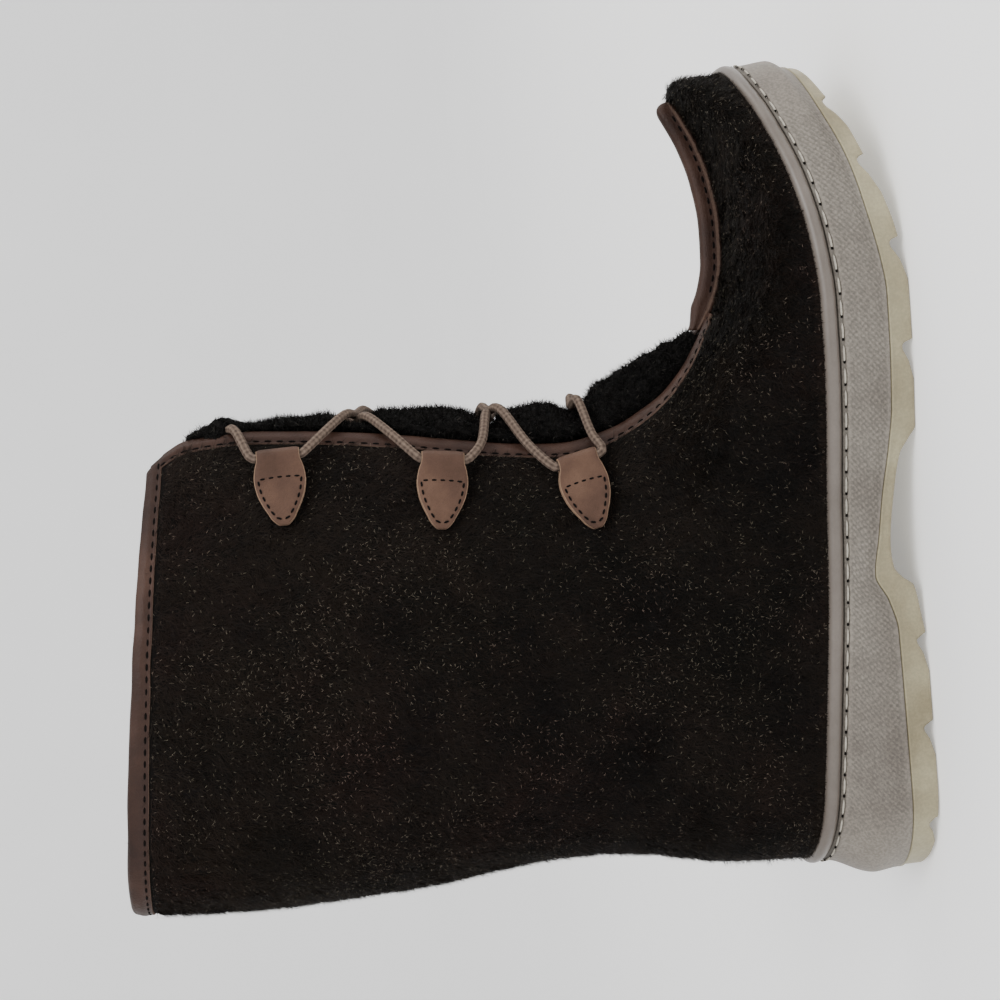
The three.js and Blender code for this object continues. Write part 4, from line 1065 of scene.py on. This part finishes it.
def make_lining_pile():
    """Black pile of the lining near the collar, which also shows past the front corner."""
    shown = upper_tris[(upper_inner[upper_tris][:, :, 2] > 165).all(axis=1)]
    sown, lengths, widths = HAIRS["lining"]
    roots, normals = scatter(upper_inner, shown, -upper_normals, sown)
    count = len(roots)
    heading = unit(normals * 0.8 + rng.normal(0, 0.6, roots.shape))
    # The few highest tones take the finish's painted glint colour.
    tone = np.clip(rng.normal(0.4, 0.22, count), 0, 1)
    piece = blades("lining_pile", roots, heading, rng.normal(size=roots.shape),
                   rng.uniform(*lengths, count), rng.uniform(*widths, count), tone, PILE_HAIR)
    stand_for(piece, "pile")


make_fur()
make_glints()
make_fringe()
make_lining_pile()

# ---------------- tongue and insole

LACE_HEIGHTS = BOTTOM, LOWER_CROSSING, UPPER_CROSSING, TOP = 108.0, 137.0, 183.0, 229.0
LACE_PRESS = 6.0  # depth that the lace presses into the tongue
TONGUE_GAP = 1.0
# Flange behind the upper: share of the way to the band's inner edge, thickness.
TONGUE_FLANGE = [(1.0, 7.0), (0.93, 6.0), (0.86, 4.5), (0.78, 2.5)]
TONGUE_FIRST = THROAT_LEVEL + 2
TONGUE_LAST = TONGUE_FIRST + len(TONGUE_RIDGE["x"]) - 1
TONGUE_RIDGE["level"] = TONGUE_FIRST + np.arange(len(TONGUE_RIDGE["x"]), dtype=float)
tongue_x, tongue_z = curve(TONGUE_RIDGE, "x", "level"), curve(TONGUE_RIDGE, "z", "level")


def tongue_half_section(side, level):
    """Half a section: over the crown to the flange, and back behind it."""
    edge = leg_point(side, 1.0, level)
    strip = leg_point(side, behind_edge(level, BINDING_WIDTH), level)
    out, normal = unit(edge - strip), leg_normal(side, 1.0, level)
    neck = edge - normal * WALL + out * (LIP + TONGUE_GAP)
    lip = edge - normal * 0.5 + out * (LIP + TONGUE_GAP)
    crown = stack(tongue_x(level), 0.0, tongue_z(level))
    arc = []
    for angle in np.radians(np.linspace(90, 0, 15)):
        point = mix(lip, crown, math.sin(angle))
        point[..., 1] = lip[..., 1] * math.cos(angle)
        arc.append(point)
    place = behind_edge(level, BINDING_WIDTH)
    front, back = [], []
    for share, depth in TONGUE_FLANGE:
        along = np.minimum(place * share + (1 - place) * (share == 1.0), 1.0)
        base, n = leg_point(side, along, level), leg_normal(side, along, level)
        front.append(base - n * (WALL + TONGUE_GAP))
        back.append(base - n * (WALL + TONGUE_GAP + depth))
    return arc + [neck] + front + back[::-1]


def make_tongue():
    level = np.linspace(TONGUE_FIRST, TONGUE_LAST, 80)
    outer, inner = tongue_half_section(-1, level), tongue_half_section(1, level)
    loop = np.stack(outer[::-1] + inner[1:], axis=1)
    rows, columns = loop.shape[:2]
    tris = triangles_of(grid_faces(rows, columns, closed_columns=True))
    points = loop.reshape(-1, 3)
    normals = vertex_normals(points, tris)
    crown = len(outer) - 1
    if normals.reshape(loop.shape)[rows // 2, crown, 0] < 0:
        tris, normals = tris[:, ::-1], -normals
    lumps = waves(points, 4.5, 21) * 0.7 + waves(points, 2.0, 22) * 0.4
    for height in LACE_HEIGHTS:
        valley = np.exp(-(((points[:, 2] - height) / 5.0) ** 2))
        lumps = lumps - LACE_PRESS * (valley * smooth(18 - np.abs(points[:, 1]), 0, 8))
    points = points + normals * (lumps - 0.6)[:, None]
    start, end = np.arange(columns), (rows - 1) * columns + np.arange(columns)
    middles = np.stack([points[start].mean(axis=0), points[end].mean(axis=0)])
    middles[1, 2] += 2
    caps = [np.stack([np.roll(start, -1), start, np.full(columns, len(points))], axis=-1),
            np.stack([end, np.roll(end, -1), np.full(columns, len(points) + 1)], axis=-1)]
    all_points = np.concatenate([points, middles])
    piece = mesh_object("tongue_pile", all_points, [tris, *caps], [PILE])
    stand_for(piece, "pile", "tongue")
    shown = tris[(np.abs(tris % columns - crown) < 17).all(axis=1)]
    grown = np.concatenate([shown, caps[1]])
    all_normals = np.concatenate([normals, [[0, 0, -1], [0, 0, 1]]])
    sown, lengths, widths = HAIRS["tongue"]
    roots, outward = scatter(all_points, grown, all_normals, sown)
    count = len(roots)
    heading = unit(outward * 0.7 + rng.normal(0, 0.62, roots.shape))
    # About 1.5 hairs in a hundred are lifted to the top tones: painted glint highlights on the pile.
    tone = rng.normal(0.4, 0.2, count) + (rng.random(count) > 0.985) * 0.6
    piece = blades("tongue_pile_hair", roots - outward * 0.4, heading, rng.normal(size=roots.shape),
                   rng.uniform(*lengths, count), rng.uniform(*widths, count),
                   np.clip(tone, 0, 1), PILE_HAIR)
    stand_for(piece, "pile")


def make_insole():
    edge = lambda x: welt_inset(x) + WELT_WIDTH + WALL + 3 * CUP_GAP
    shares = even_shares(edge, 160)
    floor = lambda x: cup_floor(x) + 0.3
    rings = [plan_ring(lambda x: edge(x) + 0.4, floor, shares),
             plan_ring(edge, lambda x: floor(x) + 1, shares)]
    for inwards, drop in ((0.3, 1.2), (1.0, 0.3), (4.0, 0.0), (10.0, 0.2), (18.0, 0.4)):
        height = lambda x: floor(x) + INSOLE_THICKNESS - drop
        ring = plan_ring(lambda x: edge(x) + inwards, height, shares)
        ring[:, 2] += waves(ring, 5, 31) * 0.25
        rings.append(ring)
    stand_for(sole_body("insole_pile", rings, [PILE]), "pile", "insole")


make_tongue()
make_insole()

# ---------------- stitches


ROD_RINGS, ROD_SIDES = 7, 6
ROD_ENDS = [[3, 2, 1, 0], [5, 4, 3, 0], [36, 37, 38, 39], [36, 39, 40, 41]]


def stitch_geometry(path, normals, pitch, length, radius, arch):
    """Rods of thread laid along a path at a pitch, each arched up: points and quads."""
    walked = distances(path)
    steps = max(int(round(walked[-1] / pitch)), 2)
    at = np.linspace(0, walked[-1], steps, endpoint=False) + pitch / 2
    centres = along_path(at, walked, path)
    heading = unit(np.gradient(centres, axis=0))
    up = unit(along_path(at, walked, normals))
    up = unit(up - heading * (up * heading).sum(axis=1, keepdims=True))
    across = np.cross(heading, up)
    turns = np.linspace(0, 2 * np.pi, ROD_SIDES + 1)[:-1]
    rings = []
    for along in np.linspace(-1, 1, ROD_RINGS):
        thick = radius * math.sqrt(max(1 - abs(along) ** 3, 0.02))
        middle = centres + heading * (along * length / 2) + up * (arch * (1 - along * along))
        rings.append(np.stack([middle + (across * math.cos(a) + up * math.sin(a)) * thick
                               for a in turns], axis=1))
    points = np.stack(rings, axis=1)
    block = np.concatenate([grid_faces(ROD_RINGS, ROD_SIDES, closed_columns=True), ROD_ENDS])
    starts = np.arange(len(centres))[:, None, None] * (ROD_RINGS * ROD_SIDES)
    return points.reshape(-1, 3), (starts + block[None]).reshape(-1, 4)


def add_thread(name, parts, finish, slot):
    """One piece from (points, quads) parts."""
    points, faces, start = [], [], 0
    for block, quads in parts:
        points.append(block)
        faces.append(quads + start)
        start += len(block)
    piece = mesh_object(name, np.concatenate(points), [np.concatenate(faces)], [finish])
    stand_for(piece, slot)


SOLE_STITCH = {"pitch": 7.4, "length": 5.6, "radius": 0.36, "arch": 0.3}
SOLE_HOLE = {"pitch": 7.4, "length": 1.15, "radius": 0.42, "arch": 0.1}
BAND_STITCH = {"pitch": 4.0, "length": 2.5, "radius": 0.38, "arch": 0.16}
SEAM_STITCH = {"pitch": 4.0, "length": 2.5, "radius": 0.36, "arch": 0.14}
TAB_STITCH = {"pitch": 2.8, "length": 1.9, "radius": 0.36, "arch": 0.1}


def make_sole_stitches():
    """Pale thread in the groove under the bead, and dark rods between its stitches painted as the shade
    in the thread holes.
    """
    inset = lambda x: welt_inset(x) + 0.55
    ring = plan_ring(inset, lambda x: welt_bottom(x) - 0.8, even_shares(inset, 900))
    outward = unit(np.cross(np.gradient(ring, axis=0), (0, 0, 1)))
    thread = stitch_geometry(ring, outward, **SOLE_STITCH)
    add_thread("sole_thread", [thread], THREAD_PALE, "rubber_welt")
    shift = np.searchsorted(distances(ring), SOLE_STITCH["pitch"] / 2)
    # Dark rods at the stitches' ends: painted shade in the thread holes.
    holes = stitch_geometry(ring[shift:], outward[shift:], **SOLE_HOLE)
    add_thread("sole_hole_shade", [holes], HOLE_SHADE, "rubber_welt")


make_sole_stitches()

# ---------------- bindings

# Folded band: share of the strip it covers, millimetres past the edge, depth into the wall.
STITCH_SHARE = 0.7
BAND_SINK = 0.9  # outer leaf below the fur's surface
FOLD = [(0, 0.5 + 1.9 * math.sin(t), mix(BAND_SINK - 0.15, WALL + 0.15, (1 - math.cos(t)) / 2))
        for t in np.linspace(0.15, 3.0, 9)]
OUTER_LEAF = [(0.97, 0.9), (0.97, 0.0), (0.93, -0.28), (0.84, -0.32), (STITCH_SHARE, -0.05),
              (0.58, -0.4), (0.4, -0.62), (0.2, -0.6), (0.04, -0.35)]
BAND_SECTION = [(share, 0, depth + BAND_SINK) for share, depth in OUTER_LEAF]
BAND_SECTION += [*FOLD, (0.1, 0, WALL + 0.15), (0.5, 0, WALL + 0.15), (0.95, 0, WALL),
                 (0.95, 0, WALL - 0.9), (0, 0.4, WALL - 1.1), (0, 0.4, BAND_SINK + 0.9)]


def leather_strip(name, loops, raw_sides, *nodes):
    """Closed strip from rows of loops; the raw sides of a loop show the leather's cut edge."""
    rows, columns = loops.shape[:2]
    quads = grid_faces(rows, columns, closed_columns=True)
    slots = np.isin(np.arange(len(quads)) % columns, raw_sides).astype(int)
    ends = np.array([np.arange(columns)[::-1], (rows - 1) * columns + np.arange(columns)])
    piece = mesh_object(name, loops, [quads, ends], [BINDING, RAW_EDGE],
                        slots=np.concatenate([slots, [0, 0]]))
    stand_for(piece, "binding_leather", *nodes)


def band(name, edge, strip, edge_normal, strip_normal, *nodes):
    """Folded leather band along an edge of the upper; returns its stitches."""
    inwards = unit(strip - edge)
    loops = []
    for share, past, depth in BAND_SECTION:
        normal = unit(mix(edge_normal, strip_normal, share))
        loops.append(mix(edge, strip, share) - inwards * past - normal * depth)
    loops = np.stack(loops, axis=1)
    wobble = waves(loops.reshape(-1, 3), 9, 41) * 0.16
    loops = loops + np.stack([wobble * 0.4, wobble, wobble], axis=1).reshape(loops.shape)
    leather_strip(name, loops, (0, 1), *nodes)
    line = mix(edge, strip, STITCH_SHARE)
    normal = unit(mix(edge_normal, strip_normal, STITCH_SHARE))
    return stitch_geometry(line + normal * (0.05 - BAND_SINK), normal, **BAND_STITCH)


def front_band(side, name):
    """Band along one front edge; its top end closes the corner under the topline band."""
    level = np.concatenate([np.linspace(THROAT_LEVEL + 0.35, THROAT_LEVEL + 3, 30)[:-1],
                            np.linspace(THROAT_LEVEL + 3, TOP_STRIP, 90),
                            [TOP_STRIP + 0.15, TOP_LEVEL - 0.03]])
    place = behind_edge(level, strip_width(level))
    edge_normal, strip_normal = leg_normal(side, 1.0, level), leg_normal(side, place, level)
    tucked = 0.35 * smooth(level, TOP_STRIP, TOP_STRIP + 0.15)[:, None]
    edge = leg_point(side, 1.0, level) - edge_normal * tucked
    strip = leg_point(side, place, level) - strip_normal * tucked
    return band(f"{name}_leather", edge, strip, edge_normal, strip_normal, name)


def topline_band():
    place = back_places(80)
    near = np.clip(place, 0.006, 1)
    top = np.full(len(place), float(TOP_LEVEL))
    low = np.full(len(place), TOP_STRIP)
    parts = []
    for side in (-1, 1):
        rows = [leg_point(side, place, top), leg_point(side, place, low),
                leg_normal(side, near, top - 0.05), leg_normal(side, near, low)]
        parts.append([row[::side] for row in rows])
    joined_rows = [np.concatenate([left, right[1:]]) for left, right in zip(*parts)]
    return band("topline_binding_leather", *joined_rows, "topline_binding")


# Raised centre seam: share of the half thickness, height in mm.
HALF_SEAM = [(1.12, -1.5), (1.12, 0.2), (1.05, 0.55), (1.0, 1.2), (0.93, 2.2), (1.0, 3.4), (1.02, 4.4),
             (0.9, 5.6), (0.55, 6.5)]
SEAM_SECTION = [(-share, up) for share, up in HALF_SEAM] + [(0, 6.8)] + HALF_SEAM[::-1]


def seam_band():
    """Leather over the centre seam of the vamp, from the throat to the toe; returns its stitches."""
    start, end = THROAT_X - 7, SEAM_TOE_X - 5
    x = np.concatenate([np.linspace(start, end, 90), end + 5 * np.sin(np.linspace(0.1, 1.5, 9))])
    size = np.sqrt(np.clip(1 - ((x - (SEAM_TOE_X - 6)) / 6.2).clip(0) ** 2, 0.02, 1))
    lead = smooth(x, start, THROAT_X + 2)
    edge_line = ridge_height(THROAT_X) + (THROAT_X - x) * 0.69
    base = np.where(x < THROAT_X, edge_line, ridge_height(x))
    rows = []
    for share, up in SEAM_SECTION:
        y = centre_line(x) + share * size * SEAM_THICKNESS / 2
        rows.append(stack(x, y, base - 0.4 + up * size * mix(0.5, 1, lead)))
    loops = np.stack(rows, axis=1)
    last = len(SEAM_SECTION) - 1
    leather_strip("vamp_seam_leather", loops, (1, 2, last - 3, last - 2), "vamp_seam_binding")
    stitches = []
    for side, column in ((-1, 4), (1, last - 4)):
        line = loops[14:-8, column]
        out = np.zeros_like(line)
        out[:, 1] = side
        stitches.append(stitch_geometry(line, out, **SEAM_STITCH))
    return stitches


threads = [front_band(-1, "front_binding_lateral"), front_band(1, "front_binding_medial"),
           topline_band(), *seam_band()]
add_thread("binding_thread", threads, THREAD_DARK, "binding_leather")

# ---------------- lace tabs

TAB_LIFT = 0.5
TUNNEL_DOWN = 2.9
TUNNEL_HEIGHT = 2.7
# Middle of the folded strip, seen from its edge: under layer, round the tunnel, outer layer.
TAB_PATH = np.array([(27, 0.5), (22, 0.55), (15, 0.55), (9.5, 0.5), (6.5, 0.4), (4.4, 0.35),
                     (2.6, 0.45), (1.2, 0.95), (0.5, 1.9), (0.45, 3.0), (1.0, 4.1), (2.1, 4.85),
                     (3.4, 4.9), (4.7, 4.35), (6.0, 3.3), (7.4, 2.4), (9.2, 1.95), (12, 1.8),
                     (17, 1.78), (22, 1.72), (26.9, 1.6)], float)
TAB_ACROSS = 13  # points across a tab
TIP_ROUND = 2.75  # length of the rounded tip


def tab_geometry(side, tab):
    """Leather strip folded round its tunnel: points, quads and which of these are the cut rim."""
    walked = distances(TAB_PATH)
    near_end = np.array([0, 0.15, 0.5, 1.0])
    fine = np.concatenate([near_end, np.linspace(1.6, walked[-1] - 1.6, 44),
                           walked[-1] - near_end[::-1]])
    middle = along_path(fine, walked, TAB_PATH)
    for _ in range(2):
        middle[1:-1] = (middle[:-2] + 2 * middle[1:-1] + middle[2:]) / 4
    heading = unit(np.gradient(middle, axis=0))
    up = np.stack([-heading[:, 1], heading[:, 0]], axis=1)
    half = tab_half(np.clip(middle[:, 0], 0, 27))
    tip = np.sqrt(np.clip((27.25 - middle[:, 0]) / TIP_ROUND, 0.02, 1)) ** 0.5
    half = np.where(middle[:, 0] > 24.5, half * tip, half)
    spread = np.sin(np.linspace(-np.pi / 2, np.pi / 2, TAB_ACROSS))
    round_off = np.sqrt(1 - np.abs(spread) ** 10).clip(0.3) * TAB_LEATHER / 2
    across = np.concatenate([spread, spread[::-1]])
    offset = np.concatenate([round_off, -round_off[::-1]])
    down = middle[:, None, 0] + up[:, None, 0] * offset
    height = middle[:, None, 1] + up[:, None, 1] * offset + TAB_LIFT
    ends = np.minimum(fine, walked[-1] - fine)
    thick = np.sqrt(np.clip(ends / 0.6, 0.1, 1))[:, None]
    height = mix(middle[:, None, 1] + TAB_LIFT, height, thick)
    points = tab_point(side, tab, down, half[:, None] * across, height)
    rows, columns = points.shape[:2]
    quads = grid_faces(rows, columns, closed_columns=True)
    sides = (0, *range(TAB_ACROSS - 2, TAB_ACROSS + 1), columns - 2, columns - 1)
    rim = np.isin(np.arange(len(quads)) % columns, sides)
    ladder = np.array([[j, j + 1, columns - 2 - j, columns - 1 - j] for j in range(TAB_ACROSS - 1)])
    last = (rows - 1) * columns
    faces = np.concatenate([quads, ladder, ladder[:, ::-1] + last])
    slots = np.concatenate([rim, np.ones(2 * len(ladder))]).astype(int)
    return points.reshape(-1, 3), faces, slots


def tab_stitches(side, tab):
    """A row straight across a tab and one round its tip."""
    top = 2.42 + TAB_LIFT
    inset = lambda d: tab_half(d) - 1.5
    span = np.linspace(-1, 1, 30)
    line = tab_point(side, tab, 10.2 + 0.4 * span**2, span * inset(10.2), top)
    turn = np.linspace(-1, 1, 80)
    down = 10.4 + (25.2 - 10.4) * (1 - np.abs(turn) ** 1.7)
    sideways = np.sign(turn) * inset(down).clip(0.05) * np.minimum(1, np.abs(turn) * 6)
    edge = tab_point(side, tab, down, sideways, top)
    _, out = surface_at(side, tab[0] - 12, tab[1])
    return [stitch_geometry(path, np.tile(out, (len(path), 1)), **TAB_STITCH) for path in (line, edge)]


def make_tabs():
    for side, where in ((-1, "lateral"), (1, "medial")):
        threads = []
        for number, tab in enumerate(TABS, 1):
            points, faces, slots = tab_geometry(side, tab)
            name = f"lace_tab_{where}_{number}"
            piece = mesh_object(f"{name}_leather", points, [faces], [TAB, TAB_RIM], slots=slots)
            stand_for(piece, "tab_leather", name)
            threads += tab_stitches(side, tab)
        add_thread(f"tab_thread_{where}", threads, THREAD_DARK, "tab_leather")


make_tabs()

# ---------------- lace

LACE_RADIUS = LACE_DIAMETER / 2
tongue_front = curve(TONGUE_RIDGE, "x", "z")


def mouth_points(side, number, end):
    """From the middle of a tab's tunnel out of one mouth: end 1 is the upper one."""
    places = [(TUNNEL_DOWN, 4, TUNNEL_HEIGHT), (TUNNEL_DOWN, 7.2, TUNNEL_HEIGHT),
              (TUNNEL_DOWN - 1.4, 9.6, TUNNEL_HEIGHT + 0.3)]
    return [tab_point(side, TABS[number - 1], down, end * across, height + TAB_LIFT)
            for down, across, height in places]


def over_edge(side, z):
    """Where a strand passes over the front band, at height z."""
    level = np.interp(z, edge_z(LEVELS["level"]), LEVELS["level"])
    return leg_point(side, 1.0, level) + leg_normal(side, 1.0, level) * (LACE_RADIUS + 0.9)


def strand_points(start, finish, z, lift):
    """Control points from one mouth over the tongue to another mouth."""
    def half(side, number, end):
        points = mouth_points(side, number, end)
        shoulder = over_edge(side, mix(points[-1][2], z, 0.42))
        height = mix(points[-1][2], z, 0.8)
        crown_x = tongue_front(height) + LACE_RADIUS - 3.2 + lift * 0.5
        return points + [shoulder, np.array([crown_x, shoulder[1] * 0.5, height])]

    crest = np.array([tongue_front(z) + LACE_RADIUS - LACE_PRESS + 0.6 + lift, 0, z])
    return half(*start) + [crest] + half(*finish)[::-1]


def smooth_loop(points, count):
    """Closed Catmull-Rom curve through the points, at even steps, and its length."""
    points = np.array(points)
    t = np.linspace(0, 1, 16, endpoint=False)[:, None]
    fine = []
    for i in range(len(points)):
        a, b, c, d = (points[(i + k) % len(points)] for k in (-1, 0, 1, 2))
        bend, twist = 2 * a - 5 * b + 4 * c - d, 3 * b - a - 3 * c + d
        fine.append(0.5 * (2 * b + (c - a) * t + bend * t**2 + twist * t**3))
    fine = np.concatenate(fine)
    for _ in range(6):
        fine = (np.roll(fine, 1, axis=0) + 2 * fine + np.roll(fine, -1, axis=0)) / 4
    closed = np.concatenate([fine, fine[:1]])
    walked = distances(closed)
    at = np.linspace(0, walked[-1], count, endpoint=False)
    return along_path(at, walked, closed), walked[-1]


OVER, TOP_LIFT = 2.8, 1.8  # height of a strand that crosses over, and of the top bar
# From (side, tab, end) to (side, tab, end), the height of the crest, and its lift.
LACE_ROUTE = [((-1, 3, 1), (1, 2, -1), LOWER_CROSSING, OVER),
              ((1, 2, 1), (-1, 1, -1), UPPER_CROSSING, OVER), ((-1, 1, 1), (1, 1, 1), TOP, TOP_LIFT),
              ((1, 1, -1), (-1, 2, 1), UPPER_CROSSING, 0), ((-1, 2, -1), (1, 3, 1), LOWER_CROSSING, 0),
              ((1, 3, -1), (-1, 3, -1), BOTTOM, 0)]
BRAID_PITCH = 2.6


def make_lace():
    """One cord through all six tunnels, crossing twice over the tongue."""
    path = [point for strand in LACE_ROUTE for point in strand_points(*strand)]
    count, corners = 700, 12
    middle, length = smooth_loop(path, count)
    heading = unit(np.roll(middle, -1, axis=0) - np.roll(middle, 1, axis=0))
    normal = np.empty_like(middle)
    normal[0] = unit(np.cross(heading[0], (0, 0, 1)))
    for i in range(1, count):
        normal[i] = unit(normal[i - 1] - heading[i] * (normal[i - 1] @ heading[i]))
    across = np.cross(heading, normal)
    turn = np.linspace(0, 2 * np.pi, corners, endpoint=False)
    walked = np.arange(count) / count * length
    phase = walked[:, None] * 2 * np.pi / BRAID_PITCH
    braid = np.sin(phase + 3 * turn) * np.sin(phase - 3 * turn)
    radius = LACE_RADIUS * 0.97 + 0.1 * braid
    cos, sin = np.cos(turn)[:, None], np.sin(turn)[:, None]
    rings = middle[:, None] + radius[..., None] * (normal[:, None] * cos + across[:, None] * sin)
    faces = grid_faces(count, corners, closed_rows=True, closed_columns=True)
    # The tone is 1 in the braid's hollows, which the lace finish paints darker as shade.
    tone = (0.5 - 0.5 * braid).ravel()
    piece = mesh_object("lace_cord", rings, [faces], [LACE], tone=tone)
    stand_for(piece, "lace_cord", "lace_bottom_bar", "lace_crossing_lower", "lace_crossing_upper",
              "lace_top_bar")


make_lace()
